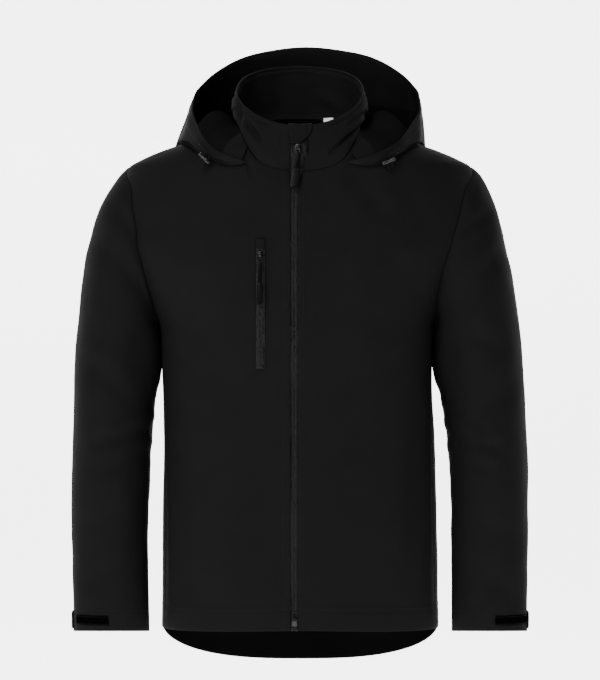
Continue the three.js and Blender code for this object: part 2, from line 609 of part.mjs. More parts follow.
function wall(rows, { cloth = CLOTH, wraps = false, flip = false, normals = null } = {}) {
  // A closed wall between a grid of outer points and the same points moved inwards.
  // cloth is a thickness or a function of the row and column.
  const thickness = typeof cloth === 'function' ? cloth : () => cloth;
  const directions = normals ?? gridNormals(rows, wraps);
  const inward = flip ? 1 : -1;
  const inner = rows.map((row, r) => row.map((p, c) => {
    return p.clone().addScaledVector(directions[r][c], inward * thickness(r, c));
  }));
  const count = rows[0].length;
  const cells = wraps ? count : count - 1;
  const points = [...rows.flat(), ...inner.flat()];
  const other = rows.length * count;
  const faces = [];
  const quad = (a, b, c, d) => faces.push([a, b, c], [a, c, d]);
  const at = (r, c) => r * count + (c % count);
  for (let r = 0; r < rows.length - 1; r += 1) {
    for (let c = 0; c < cells; c += 1) {
      quad(at(r, c), at(r, c + 1), at(r + 1, c + 1), at(r + 1, c));
      quad(other + at(r + 1, c), other + at(r + 1, c + 1), other + at(r, c + 1), other + at(r, c));
    }
  }
  const top = rows.length - 1;
  for (let c = 0; c < cells; c += 1) {
    quad(at(0, c), other + at(0, c), other + at(0, c + 1), at(0, c + 1));
    quad(at(top, c + 1), other + at(top, c + 1), other + at(top, c), at(top, c));
  }
  for (let r = 0; r < top && !wraps; r += 1) {
    quad(at(r + 1, 0), other + at(r + 1, 0), other + at(r, 0), at(r, 0));
    quad(at(r, cells), other + at(r, cells), other + at(r + 1, cells), at(r + 1, cells));
  }
  return facesOut(points, faces);
}

function facesOut(points, faces) {
  // A geometry whose faces point out, whichever way the grid ran.
  const volume = faces.reduce((sum, [a, b, c]) => {
    return sum + points[a].dot(points[b].clone().cross(points[c]));
  }, 0);
  const turned = volume < 0 ? faces.map(([a, b, c]) => [a, c, b]) : faces;
  const geometry = new THREE.BufferGeometry().setFromPoints(points);
  geometry.setIndex(turned.flat());
  return geometry;
}

const frontGrid = { right: frontPanel('right'), left: frontPanel('left') };
const backGrid = backPanel();

function neckLine() {
  // Points along the neck seam, from the right closing edge round the back to the left.
  const top = backGrid.length - 1;
  const back = backGrid[top].slice(SHOULDER_COLUMNS, SHOULDER_COLUMNS * 3 + 1).reverse();
  const front = (side) => frontGrid[side][top].slice(0, FRONT_NECK_COLUMNS + 1);
  const line = [...front('right'), ...back.slice(1, -1), ...front('left').reverse()];
  return line.map((p) => p.clone());
}
const NECK_LINE = neckLine();

function armholeLoop(side) {
  // Points and outward directions round the armhole: shoulder tip, front, underarm, back.
  const sign = SIDES[side];
  const marks = [];
  for (let row = ARMHOLE_ROWS; row >= 0; row -= 1) {
    marks.push({ turn: sign * ARMHOLE_EDGE[row].turn, z: ARMHOLE_EDGE[row].z });
  }
  for (let row = 1; row < ARMHOLE_ROWS; row += 1) {
    marks.push({ turn: sign * (180 - ARMHOLE_EDGE[row].turn), z: ARMHOLE_EDGE[row].z });
  }
  return marks.map(({ turn, z }) => ({ point: shell(turn, z), out: shellNormal(turn, z) }));
}

function sleeveGrid(side) {
  // Rings from the armhole to the cuff, each from the outer edge over the front.
  const sign = SIDES[side];
  const table = SLEEVE[side];
  const names = ['outerX', 'outerZ', 'innerX', 'innerZ', 'deep', 'y'];
  const at = Object.fromEntries(names.map((name) => [name, curve(table, name, 'share')]));
  const loop = armholeLoop(side);
  const ellipse = (share, k) => {
    const angle = (2 * Math.PI * k) / loop.length;
    const outer = new THREE.Vector3(sign * at.outerX(share), at.y(share), at.outerZ(share));
    const inner = new THREE.Vector3(sign * at.innerX(share), at.y(share), at.innerZ(share));
    const point = inner.clone().lerp(outer, (1 + Math.cos(angle)) / 2);
    point.y -= at.deep(share) * Math.sin(angle);
    point.z += CUFF_RISE * Math.max(Math.sin(angle), 0) * share ** 8;
    return point;
  };
  return SLEEVE_RINGS.map((share) => {
    const cap = Math.max(1 - share / CAP_SHARE, 0) ** 2;
    const middleX = (sign * (at.outerX(share) + at.innerX(share))) / 2;
    return loop.map(({ point, out }, k) => {
      const seam = point.clone().addScaledVector(out, SEAM_GAP);
      seam.x += sign * SEAM_GAP;
      const place = ellipse(share, k).addScaledVector(seam.sub(ellipse(0, k)), cap);
      const inward = new THREE.Vector3(middleX - place.x, at.y(share) - place.y, 0).normalize();
      return place.addScaledVector(inward, foldDepth(`sleeve_${side}`, place) * fade(share));
    });
  });
}

function rimPoint(baseX, baseY) {
  // The point of the collar's rim above a point of its base.
  const around = Math.min(Math.abs(baseX) / width.left(SHOULDER_NECK_Z), 1);
  const x = baseX + Math.sign(baseX) * (RIM_HALF - width.left(SHOULDER_NECK_Z)) * around ** 2;
  const across = Math.min(Math.abs(x) / RIM_HALF, 1);
  const along = -Math.sign(baseY) * Math.sqrt(1 - across ** 2);
  const deep = baseY < 0 ? RIM_FRONT : RIM_BACK;
  const z = RIM_MIDDLE_Z - RIM_TILT_Z * along + RIM_SIDE_LIFT * across ** 2;
  return new THREE.Vector3(x, -deep * along, z);
}

function collarPoint(foot, share) {
  // A point of the collar's outside above a point of the neck seam.
  const rim = rimPoint(foot.x, foot.y);
  const point = foot.clone().addScaledVector(UP, COLLAR_LIFT).lerp(rim, share);
  const out = new THREE.Vector3(foot.x, foot.y, 0).normalize();
  const sideways = Math.abs(out.x) * (out.y < 0 ? 1 : 0.4);
  const bulge = COLLAR_BULGE * (0.25 + sideways) * 4 * share * (1 - share);
  return point.addScaledVector(out, bulge - foldDepth('collar', point) * 4 * share * (1 - share));
}

function collarGrid() {
  // Rows from the neck seam to the rim, columns from the right end round to the left.
  const base = [];
  NECK_LINE.forEach((p, i) => {
    if (i > 0) base.push(p.clone().lerp(NECK_LINE[i - 1], 0.5));
    base.push(p.clone());
  });
  const rows = [];
  for (let row = 0; row <= COLLAR_ROWS; row += 1) {
    rows.push(base.map((foot) => collarPoint(foot, row / COLLAR_ROWS)));
  }
  rows.forEach((row) => {
    row[0].x = closing.right(row[0].z);
    row[row.length - 1].x = closing.left(row[row.length - 1].z);
  });
  return rows;
}

function hoodLine() {
  // One table from the right tip, at 0, round the back, at 1, to the left tip, at 2.
  const right = HOOD.map((row) => ({ ...row, at: row.neck, rimX: -row.rimRight, turn: -row.turn }));
  const left = HOOD.slice(0, -1).reverse().map((row) => {
    return { ...row, at: 2 - row.neck, rimX: row.rimLeft, turn: row.turn - 360 };
  });
  return [...right, ...left];
}
const HOOD_LINE = hoodLine();
const hoodAt = Object.fromEntries(['rimX', 'rimY', 'rimZ', 'turn', 'z', 'out', 'lean'].map((name) => {
  return [name, curve(HOOD_LINE, name, 'at')];
}));

function hoodRoots() {
  // Points of the neck seam under the hood's stations.
  const half = (NECK_LINE.length - 1) / 2;
  const right = spaced(NECK_LINE.slice(HOOD_TIP_COLUMN, half + 1), HOOD_STATIONS);
  const left = spaced(NECK_LINE.slice(half, NECK_LINE.length - HOOD_TIP_COLUMN), HOOD_STATIONS);
  return [...right, ...left.slice(1)];
}
const HOOD_ROOTS = hoodRoots();

function gatherDepth(at) {
  return HOOD_GATHERS.reduce((sum, fold) => {
    return sum + fold.deep * Math.exp(-(((at - fold.at) / fold.wide) ** 2));
  }, 0);
}

function hoodStand(at, share) {
  // How far the floor stands up, 0 to 1, at a place along the hood and across its floor.
  const away = (Math.min(at, 2 - at) - HOOD_STAND.at) / HOOD_STAND.wide;
  return Math.exp(-(away ** 2)) * Math.sin(Math.PI * share ** HOOD_STAND.power) ** 2;
}

function hoodStation(index) {
  // The section of the hood at one station, from the neck seam to the rim.
  const at = index / HOOD_STATIONS;
  const root = HOOD_ROOTS[index];
  const size = root.y < 0
    ? Math.abs(turnAt(root.x, root.z))
    : Math.atan2(Math.abs(root.x) / NECK_HALF, -root.y / NECK_BACK) / DEGREE;
  const rootTurn = at <= 1 ? -size : size - 360;
  const rootZ = Math.min(root.z, SHOULDER_NECK_Z);
  const away = new THREE.Vector3(root.x, root.y, 0).normalize();
  const section = HOOD_FLOOR.map((share) => {
    if (share === 0) {
      return root.clone().addScaledVector(away, HOOD_ROOT_OUT).addScaledVector(UP, HOOD_ROOT_UP);
    }
    const turn = rootTurn + (hoodAt.turn(at) - rootTurn) * share;
    const z = rootZ + (hoodAt.z(at) - rootZ) * share;
    const start = HOOD_FLOOR_OUT * Math.min(share / 0.3, 1);
    const out = HOOD_OVER + start + (hoodAt.out(at) - HOOD_OVER - HOOD_FLOOR_OUT) * share ** 3;
    const point = shell(turn, z).addScaledVector(shellNormal(turn, z), out);
    const stand = hoodStand(at, share);
    point.addScaledVector(away, HOOD_STAND.out * stand);
    return point.addScaledVector(UP, (root.z - rootZ) * (1 - share) ** 2 + HOOD_STAND.high * stand);
  });
  const keel = section[section.length - 1];
  const rim = new THREE.Vector3(hoodAt.rimX(at), hoodAt.rimY(at), hoodAt.rimZ(at));
  const side = new THREE.Vector3(keel.x, keel.y, 0).normalize();
  const control = keel.clone().lerp(rim, 0.5).addScaledVector(side, 2 * hoodAt.lean(at));
  HOOD_WALL.forEach((share) => {
    const low = keel.clone().lerp(control, share);
    const point = low.lerp(control.clone().lerp(rim, share), share);
    section.push(point.addScaledVector(side, -gatherDepth(at) * Math.sin(Math.PI * share ** 0.7)));
  });
  return section;
}

function hoodGrid() {
  // Stations from the right tip round the back to the left tip.
  return Array.from({ length: 2 * HOOD_STATIONS + 1 }, (_, i) => hoodStation(i));
}

function gridSpot(rows, row, column) {
  // A point between the points of a grid, and the direction square to it. Columns wrap.
  const count = rows[0].length;
  const place = (r, c) => {
    const low = Math.min(Math.floor(r), rows.length - 2);
    const first = Math.floor(c);
    const corner = (i, j) => rows[low + i][(((first + j) % count) + count) % count];
    const one = corner(0, 0).clone().lerp(corner(0, 1), c - first);
    return one.lerp(corner(1, 0).clone().lerp(corner(1, 1), c - first), r - low);
  };
  const around = place(row, column + 0.5).sub(place(row, column - 0.5));
  const onward = place(row + 0.2, column).sub(place(row - 0.2, column));
  return { point: place(row, column), out: around.cross(onward).normalize() };
}

function facetPoint(rows, x, z) {
  // The point of a front panel's triangles at this x and z.
  const inside = (a, b, c) => {
    const area = (b.x - a.x) * (c.z - a.z) - (c.x - a.x) * (b.z - a.z);
    const v = ((x - a.x) * (c.z - a.z) - (c.x - a.x) * (z - a.z)) / area;
    const w = ((b.x - a.x) * (z - a.z) - (x - a.x) * (b.z - a.z)) / area;
    if (v < 0 || w < 0 || v + w > 1) return null;
    return new THREE.Vector3(x, a.y + (b.y - a.y) * v + (c.y - a.y) * w, z);
  };
  for (let r = 0; r < rows.length - 1; r += 1) {
    for (let c = 0; c < rows[0].length - 1; c += 1) {
      const [a, b, d, e] = [rows[r][c], rows[r][c + 1], rows[r + 1][c + 1], rows[r + 1][c]];
      const found = inside(a, b, d) ?? inside(a, d, e);
      if (found) return found;
    }
  }
  throw new Error('a point lies off the panel');
}

function panelSpot(x, z, lift) {
  // A point lifted off the right front, and the directions up and out there.
  const out = shellNormal(turnAt(x, z), z);
  const point = facetPoint(frontGrid.right, x, z).addScaledVector(out, lift);
  const up = UP.clone().addScaledVector(out, -UP.dot(out)).normalize();
  return { point, up, out };
}

function frameOn({ point, up, out }) {
  // A matrix with X across a zip, Y up it and Z outwards.
  const across = up.clone().cross(out).normalize();
  const along = out.clone().cross(across);
  return new THREE.Matrix4().makeBasis(across, along, out).setPosition(point);
}

function toManifold(geometry) {
  const bare = new THREE.BufferGeometry();
  bare.setAttribute('position', geometry.getAttribute('position').clone());
  if (geometry.index) bare.setIndex(geometry.index.clone());
  const merged = mergeVertices(bare, 1e-4);
  const vertProperties = new Float32Array(merged.getAttribute('position').array);
  const triVerts = new Uint32Array(merged.index.array);
  return new wasm.Manifold(new wasm.Mesh({ numProp: 3, vertProperties, triVerts }));
}

function joined(...geometries) {
  const whole = geometries.map(toManifold).reduce((sum, next) => sum.add(next)).getMesh();
  const geometry = new THREE.BufferGeometry();
  geometry.setAttribute('position', new THREE.BufferAttribute(new Float32Array(whole.vertProperties), 3));
  geometry.setIndex(new THREE.BufferAttribute(new Uint32Array(whole.triVerts), 1));
  return geometry;
}

function outline(points) {
  return new THREE.Shape(points.map(([x, y]) => new THREE.Vector2(x, y)));
}

function plate(points, low, high, hole = null) {
  // An outline in X and Y as a plate between two heights.
  const shape = outline(points);
  if (hole) shape.holes.push(outline(hole));
  const geometry = new THREE.ExtrudeGeometry(shape, { depth: high - low, bevelEnabled: false });
  return geometry.translate(0, 0, low);
}

function zipLevels() {
  // The closing edges of the fronts and the collar, level by level from the hem.
  const levels = frontGrid.right.slice(0, -1).map((row, r) => [row[0], frontGrid.left[r][0]]);
  collarRows.forEach((row) => levels.push([row[0], row[row.length - 1]]));
  return levels;
}

function zipLine() {
  // Points along the middle of the front zip, level with the cloth beside it.
  return zipLevels().map(([right, left]) => {
    const x = closing.zip(right.z);
    return right.clone().lerp(left, (x - right.x) / (left.x - right.x));
  });
}

function zipSpot(z, lift) {
  // A point lifted off the front zip, and the directions up and out there.
  const line = zipLine();
  const i = line.findIndex((p) => p.z > z) - 1;
  const point = line[i].clone().lerp(line[i + 1], (z - line[i].z) / (line[i + 1].z - line[i].z));
  const up = line[i + 1].clone().sub(line[i]).setX(0).normalize();
  const out = new THREE.Vector3(1, 0, 0).cross(up);
  return { point: point.addScaledVector(out, lift), up, out };
}

function zipTape() {
  // Tape and coil between the closing edges, from the hem to the collar's rim.
  const surface = zipLevels().map(([right, left]) => {
    const zip = closing.zip(right.z);
    const stations = [
      right.x + ZIP_SIDE_GAP, zip - COIL_HALF - 1, zip - COIL_HALF,
      zip + COIL_HALF, zip + COIL_HALF + 1, left.x - ZIP_SIDE_GAP,
    ];
    return stations.map((x) => right.clone().lerp(left, (x - right.x) / (left.x - right.x)));
  });
  const out = gridNormals(surface, false);
  const sunk = [ZIP_RECESS, ZIP_RECESS, COIL_RECESS, COIL_RECESS, ZIP_RECESS, ZIP_RECESS];
  const rows = surface.map((row, r) => row.map((p, c) => p.clone().addScaledVector(out[r][c], -sunk[c])));
  trim(rows, 'top', ZIP_TOP_GAP);
  return wall(rows, { cloth: TAPE });
}

function slider({ wide, narrow, length, thick }) {
  // Body and crown in the zip's own frame, around the middle of the body.
  const half = length / 2;
  const body = plate([
    [-narrow, -half], [narrow, -half], [wide, half * 0.3], [wide * 0.8, half * 0.85],
    [wide * 0.35, half], [-wide * 0.35, half], [-wide * 0.8, half * 0.85], [-wide, half * 0.3],
  ], 0, thick);
  const high = thick + CROWN_HOLE + CROWN_WALL;
  const crown = plate([
    [-CROWN_LONG, thick - 1], [CROWN_LONG, thick - 1], [CROWN_LONG, high - 1],
    [CROWN_LONG - 1, high], [1 - CROWN_LONG, high], [-CROWN_LONG, high - 1],
  ], -CROWN_HALF, CROWN_HALF, [
    [-CROWN_GAP, thick + 0.2], [CROWN_GAP, thick + 0.2], [CROWN_GAP, high - CROWN_WALL],
    [-CROWN_GAP, high - CROWN_WALL],
  ]);
  const turned = new THREE.Matrix4().makeBasis(
    new THREE.Vector3(0, 1, 0),
    new THREE.Vector3(0, 0, 1),
    new THREE.Vector3(1, 0, 0),
  );
  return joined(body, crown.applyMatrix4(turned));
}

function barHeight({ thick }) {
  // How far the pull's bar lies above the foot of its slider.
  return thick + 0.2 + (CROWN_HOLE - 0.2) / 2;
}

function pull({ neck, neckEnd, grip, gripEnd, tip, lean }) {
  // Loop, neck and moulded grip in one, hanging down Y from its bar.
  const at = (x, y) => [x + lean * Math.min(y + LOOP_END, 0), y];
  const half = PULL_PLATE / 2;
  const ring = plate([
    [LOOP_HALF, -LOOP_END - 1], [LOOP_HALF, half], [-LOOP_HALF, half], [-LOOP_HALF, -LOOP_END - 1],
  ], -half, half, [
    [LOOP_GAP, -LOOP_END + 1], [LOOP_GAP, -half], [-LOOP_GAP, -half], [-LOOP_GAP, -LOOP_END + 1],
  ]);
  const right = [
    at(neck, -LOOP_END), at(neck, -neckEnd), at(grip, -neckEnd - 3),
    at(grip, -gripEnd), at(grip * 0.6, -tip),
  ];
  const left = [
    at(-grip * 0.6, -tip), at(-grip, -gripEnd), at(-grip, -neckEnd - 3), at(-neck, -neckEnd),
    at(-neck, -LOOP_END),
  ];
  const strap = plate([...right, ...left], -half - 0.2, half + 0.3);
  const handle = plate([
    at(grip - 0.6, -neckEnd - 2), at(grip - 0.6, -gripEnd), at(grip * 0.5, -tip + 1),
    at(-grip * 0.5, -tip + 1), at(0.6 - grip, -gripEnd), at(0.6 - grip, -neckEnd - 2),
  ], -half - 0.8, half + 1.2);
  return joined(ring, strap, handle);
}

function collarSpot(x, share) {
  // A point of the collar's outside at the front, and the directions up and out there.
  const place = (px, s) => {
    const z = neckZ(Math.abs(px));
    return collarPoint(shell(turnAt(px, z), z), s);
  };
  const up = place(x, share + 0.01).sub(place(x, share - 0.01)).normalize();
  const out = place(x + 1, share).sub(place(x - 1, share)).cross(up).normalize();
  return { point: place(x, share), up, out };
}

function chinGuard() {
  // A fold of cloth over the rim that covers the top of the zip, longer in front.
  const left = curve(GUARD, 'left');
  const right = curve(GUARD, 'right');
  const reach = ON_PANEL + GUARD_CLOTH;
  const columns = Array.from({ length: GUARD_COLUMNS + 1 }, (_, i) => i / GUARD_COLUMNS);
  const front = GUARD.map(({ z }) => columns.map((u) => {
    const x = left(z) + (right(z) - left(z)) * u;
    const foot = collarSpot(x, 0).point.z;
    const { point, out } = collarSpot(x, (z - foot) / (collarSpot(x, 1).point.z - foot));
    return point.addScaledVector(out, reach);
  }));
  const round = (angle, down) => columns.map((u) => {
    const rim = GUARD[GUARD.length - 1];
    const { point, up, out } = collarSpot(rim.left + (rim.right - rim.left) * u, 1);
    const middle = point.addScaledVector(out, -COLLAR_CLOTH / 2);
    const radius = COLLAR_CLOTH / 2 + reach;
    return middle.addScaledVector(out, radius * Math.cos(angle * DEGREE))
      .addScaledVector(up, radius * Math.sin(angle * DEGREE) - down);
  });
  const fold = [30, 60, 90, 120, 150, 180].map((angle) => round(angle, 0));
  const inside = GUARD_INSIDE.map((down) => round(180, down));
  return wall([...front, ...fold, ...inside], { cloth: GUARD_CLOTH });
}

function chestStrip(zLow, zHigh, steps, across, lifts, thick) {
  // A strip on the right front, made from the points of the panel.
  const rows = [];
  for (let i = 0; i <= steps; i += 1) {
    const z = zLow + ((zHigh - zLow) * i) / steps;
    rows.push(across.map((dx, c) => panelSpot(CHEST.x + dx, z, ON_PANEL + thick + lifts[c]).point));
  }
  return wall(rows, { cloth: thick });
}

function chestTape() {
  const edge = CHEST.half;
  const across = [-edge, -COIL_HALF - 0.8, -COIL_HALF, COIL_HALF, COIL_HALF + 0.8, edge];
  const lifts = [0, 0, COIL_LIFT, COIL_LIFT, 0, 0];
  return chestStrip(CHEST.bottom, CHEST.garage - SEAM_GAP, CHEST_STEPS, across, lifts, TAPE);
}

function chestGarage() {
  const edge = CHEST.half;
  return chestStrip(CHEST.garage, CHEST.top, 2, [-edge, 2 - edge, edge - 2, edge], [0, 0.2, 0.2, 0], 1.8);
}

function sleeveBand(side, from, to, low, high, thick) {
  // A strip that lies on a sleeve near its cuff, between two places round the ring.
  const rows = sleeveRows[side];
  const last = rows.length - 1;
  const places = [from];
  for (let k = Math.floor(from) + 1; k < to; k += 1) places.push(k);
  places.push(to);
  const zOf = (row, k) => gridSpot(rows, row, k).point.z;
  const strip = [low, high].map((z) => places.map((k) => {
    const share = (z - zOf(last - 1, k)) / (zOf(last, k) - zOf(last - 1, k));
    const { point, out } = gridSpot(rows, last - 1 + share, k);
    return point.addScaledVector(out, SIDES[side] * (ON_PANEL + thick));
  }));
  return wall(strip, { cloth: thick, flip: side === 'left' });
}

function eyelet() {
  // A ring around Z that stands on its foot.
  const profile = [[2.3, 0], [4.2, 0], [4.6, 0.4], [4.2, 1], [2.6, 1], [2.3, 0.6], [2.3, 0]];
  return new THREE.LatheGeometry(profile.map(([r, z]) => new THREE.Vector2(r, z)), 16).rotateX(Math.PI / 2);
}

function lockBar() {
  // The toggle that both strands of the hood cord pass through, along X.
  const long = LOCK_LENGTH / 2;
  const wide = LOCK_RADIUS;
  const profile = [
    [0, -long], [wide - 1, -long], [wide, 1 - long], [wide, long - 1], [wide - 1, long], [0, long],
  ];
  return new THREE.LatheGeometry(profile.map(([r, z]) => new THREE.Vector2(r, z)), 12).rotateZ(Math.PI / 2);
}

function strand(points) {
  // A cord through hand-placed points, with square ends.
  const path = new THREE.CatmullRomCurve3(points.map((p) => new THREE.Vector3(...p)));
  const round = Array.from({ length: CORD_SIDES }, (_, i) => {
    const angle = (2 * Math.PI * i) / CORD_SIDES;
    return [CORD_RADIUS * Math.cos(angle), CORD_RADIUS * Math.sin(angle)];
  });
  const steps = Math.max(3, Math.ceil(path.getLength() / (CORD_RADIUS * 5)));
  const geometry = new THREE.ExtrudeGeometry(outline(round), { steps, extrudePath: path });
  return joined(geometry);
}

function cordParts(side) {
  // The eyelet, the toggle and the two strands of one side of the hood cord.
  const { at, wall: up, lock, angle, strands } = HOOD_CORD[side];
  const { point, out } = gridSpot(hoodRows, at * HOOD_STATIONS, HOOD_FLOOR.length - 1 + up);
  const outward = out.y > 0 ? out.negate() : out;
  const seat = point.clone().addScaledVector(outward, EYELET_LIFT);
  const ring = eyelet().applyMatrix4(frameOn({ point: seat, up: UP, out: outward }));
  const bar = lockBar().rotateY(-angle * DEGREE).translate(lock.x, lock.y, lock.z);
  return { ring, bar, strands: strands.map(({ top, end }) => ({ top: strand(top), end: strand(end) })) };
}

function neckLabel() {
  const { x, y, z, wide, high, turn } = LABEL;
  return new THREE.BoxGeometry(wide, LABEL_CLOTH, high).rotateZ(turn * DEGREE).translate(x, y, z);
}

function zipStop() {
  const half = STOP.wide / 2;
  const box = [[-half, 0], [half, 0], [half, STOP.long], [-half, STOP.long]];
  return plate(box, STOP.lift, STOP.lift + STOP.thick);
}

const collarRows = collarGrid();
const hoodRows = hoodGrid();
const sleeveRows = { right: sleeveGrid('right'), left: sleeveGrid('left') };

const group = new THREE.Group();

function add(name, geometry, colour, roughness) {
  const material = new THREE.MeshStandardMaterial({ color: colour, roughness, metalness: 0 });
  const mesh = new THREE.Mesh(geometry, material);
  mesh.name = name;
  group.add(mesh);
}

function panelWall(rows, flip, edges) {
  // A body panel as a wall, held back from its seams by half the gap.
  const normals = panelNormals(rows, flip);
  const grid = rows.map((row) => row.map((p) => p.clone()));
  edges.forEach((edge) => trim(grid, edge, SEAM_GAP / 2));
  return wall(grid, { normals });
}

const COLOUR = {
  shell: 0x17181a, tape: 0x1c1d1f, metal: 0x26272a, rubber: 0x121314, patch: 0x0d0d0e, label: 0xe4e4e0,
};
const ROUGH = { cloth: 0.85, tape: 0.7, hard: 0.45 };

for (const side of ['right', 'left']) {
  const rows = frontGrid[side];
  add(`front_${side}`, panelWall(rows, side === 'right', ['end', 'top']), COLOUR.shell, ROUGH.cloth);
}
add('back', panelWall(backGrid, false, ['start', 'end', 'top']), COLOUR.shell, ROUGH.cloth);
for (const side of ['right', 'left']) {
  const geometry = wall(sleeveRows[side], { wraps: true, flip: side === 'right' });
  add(`sleeve_${side}`, geometry, COLOUR.shell, ROUGH.cloth);
}
add('collar', wall(collarRows, { cloth: COLLAR_CLOTH, flip: true }), COLOUR.shell, ROUGH.cloth);
const hoodCloth = (r, c) => (c >= hoodRows[0].length - 2 ? HOOD_RIM_CLOTH : CLOTH);
add('hood', wall(hoodRows, { cloth: hoodCloth }), COLOUR.shell, ROUGH.cloth);

add('front_zip', zipTape(), COLOUR.tape, ROUGH.tape);
const frontMount = zipSpot(FRONT_SLIDER_Z, SLIDER_LIFT);
add('front_zip_slider', slider(FRONT_SLIDER).applyMatrix4(frameOn(frontMount)), COLOUR.metal, ROUGH.hard);
const frontBar = zipSpot(FRONT_SLIDER_Z, SLIDER_LIFT + barHeight(FRONT_SLIDER));
add('front_zip_pull', pull(FRONT_PULL).applyMatrix4(frameOn(frontBar)), COLOUR.rubber, ROUGH.hard);
add('front_zip_stop', zipStop().applyMatrix4(frameOn(zipSpot(STOP.z, 0))), COLOUR.metal, ROUGH.hard);
add('chin_guard', chinGuard(), COLOUR.shell, ROUGH.cloth);

add('chest_zip', chestTape(), COLOUR.tape, ROUGH.tape);
add('chest_zip_garage', chestGarage(), COLOUR.shell, ROUGH.cloth);
const chestMount = panelSpot(CHEST.x, CHEST.slider, ON_PANEL + TAPE + COIL_LIFT + 0.3);
add('chest_zip_slider', slider(CHEST_SLIDER).applyMatrix4(frameOn(chestMount)), COLOUR.metal, ROUGH.hard);
const chestBar = { ...chestMount };
chestBar.point = chestMount.point.clone().addScaledVector(chestMount.out, barHeight(CHEST_SLIDER));
add('chest_zip_pull', pull(CHEST_PULL).applyMatrix4(frameOn(chestBar)), COLOUR.rubber, ROUGH.hard);

for (const side of ['right', 'left']) {
  const { from, to } = CUFF_PATCH[side];
  const patchStrip = sleeveBand(side, from, to, CUFF_PATCH.low, CUFF_PATCH.high, PATCH_CLOTH);
  add(`cuff_patch_${side}`, patchStrip, COLOUR.patch, ROUGH.cloth);
  const tab = sleeveBand(side, CUFF_TAB.from, CUFF_TAB.to, CUFF_TAB.low, CUFF_TAB.high, TAB_CLOTH);
  add(`cuff_tab_${side}`, tab, COLOUR.shell, ROUGH.cloth);
}
for (const side of ['right', 'left']) {
  const { ring, bar, strands } = cordParts(side);
  add(`hood_eyelet_${side}`, ring, COLOUR.metal, ROUGH.hard);
  add(`hood_lock_${side}`, bar, COLOUR.rubber, ROUGH.hard);
  strands.forEach(({ top, end }, i) => {
    add(`hood_cord_${side}_${i + 1}_top`, top, COLOUR.tape, ROUGH.tape);
    add(`hood_cord_${side}_${i + 1}_end`, end, COLOUR.tape, ROUGH.tape);
  });
}
add('neck_label', neckLabel(), COLOUR.label, ROUGH.cloth);

export default group;
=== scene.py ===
"""A hooded softshell jacket in its worn shape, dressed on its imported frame."""

import json
import logging
import math
from dataclasses import dataclass, field
from enum import Enum
from typing import Callable, Iterable, Sequence

import bmesh
import bpy
from mathutils import Matrix, Vector, noise

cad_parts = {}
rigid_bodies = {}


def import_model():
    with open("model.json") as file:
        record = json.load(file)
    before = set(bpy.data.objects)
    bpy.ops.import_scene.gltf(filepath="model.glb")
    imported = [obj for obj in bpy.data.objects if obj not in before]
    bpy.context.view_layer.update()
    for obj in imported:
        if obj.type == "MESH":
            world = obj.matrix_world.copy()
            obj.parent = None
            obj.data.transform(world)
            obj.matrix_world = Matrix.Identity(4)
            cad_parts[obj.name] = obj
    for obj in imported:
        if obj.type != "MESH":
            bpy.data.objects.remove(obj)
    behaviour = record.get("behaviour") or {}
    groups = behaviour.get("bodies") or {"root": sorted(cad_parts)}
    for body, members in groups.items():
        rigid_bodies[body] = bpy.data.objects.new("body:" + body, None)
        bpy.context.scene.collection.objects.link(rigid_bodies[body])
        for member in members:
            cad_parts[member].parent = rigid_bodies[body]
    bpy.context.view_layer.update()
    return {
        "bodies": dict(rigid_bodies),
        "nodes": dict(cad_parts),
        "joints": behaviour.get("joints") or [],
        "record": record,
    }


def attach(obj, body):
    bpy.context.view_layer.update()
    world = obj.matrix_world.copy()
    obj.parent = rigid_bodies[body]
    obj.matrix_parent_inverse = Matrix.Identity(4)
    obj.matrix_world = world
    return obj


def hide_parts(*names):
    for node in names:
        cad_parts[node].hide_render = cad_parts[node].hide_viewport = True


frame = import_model()

logging.basicConfig(level=logging.INFO, format="%(name)s: %(message)s")
LOG = logging.getLogger("jacket")

MM = 0.001
BODY = "jacket"
SIDES = {"right": -1, "left": 1}
UP = Vector((0, 0, 1))

# Cloth, seams and heights, in millimetres
CLOTH = 1.6
COLLAR_CLOTH = 3.0
HOOD_RIM_CLOTH = 2.6
SEAM_GAP = 0.4
HEM_Z = -727
FRONT_HEM_RISE = 5
TAIL_DROP = 62
TAIL_SHAPE = 2.2
CUFF_RISE = 4
UNDERARM_Z = -305
SHOULDER_TIP_Z = -68
SHOULDER_NECK_Z = -12
BACK_NECK_RISE = 17
NECK_FRONT_Z = -80
TOP_CROWDING = 1.6
NECK_SHARE = 7 / 13
CUFF_Z = -733

SECTIONS = (
    ("z", "right", "left", "front", "back", "square"),
    (-800, 198, 199, 127, 120, 2.5),
    (-727, 198, 198.5, 128, 121, 2.5),
    (-600, 197, 196.5, 130, 122, 2.45),
    (-440, 196.5, 192.5, 129, 120, 2.4),
    (-369, 198, 190, 130, 121, 2.35),
    (-305, 200, 191, 131, 123, 2.3),
    (-266, 217, 200.5, 130, 124, 2.25),
    (-212, 251, 229.5, 127, 124, 2.2),
    (-173, 267, 250.5, 122, 122, 2.15),
    (-130, 267.5, 258, 115, 118, 2.1),
    (-100, 258, 253.5, 109, 112, 2.05),
    (-68, 246, 247, 99, 102, 1.95),
    (-57, 228, 229, 95.5, 99, 1.9),
    (-40, 187, 188, 90, 92, 1.85),
    (-26, 140, 140, 84, 84, 1.85),
    (-12, 85, 85, 76, 70, 2),
)
ARMHOLE = (
    ("z", "turn"),
    (-305, 90), (-290, 82.4), (-266, 73.3), (-212, 61.4),
    (-173, 58.9), (-130, 62), (-100, 69), (-68, 90),
)
SIDE_SEAM = (("z", "turn"), (-800, 73), (-600, 73.5), (-440, 77), (-305, 90))
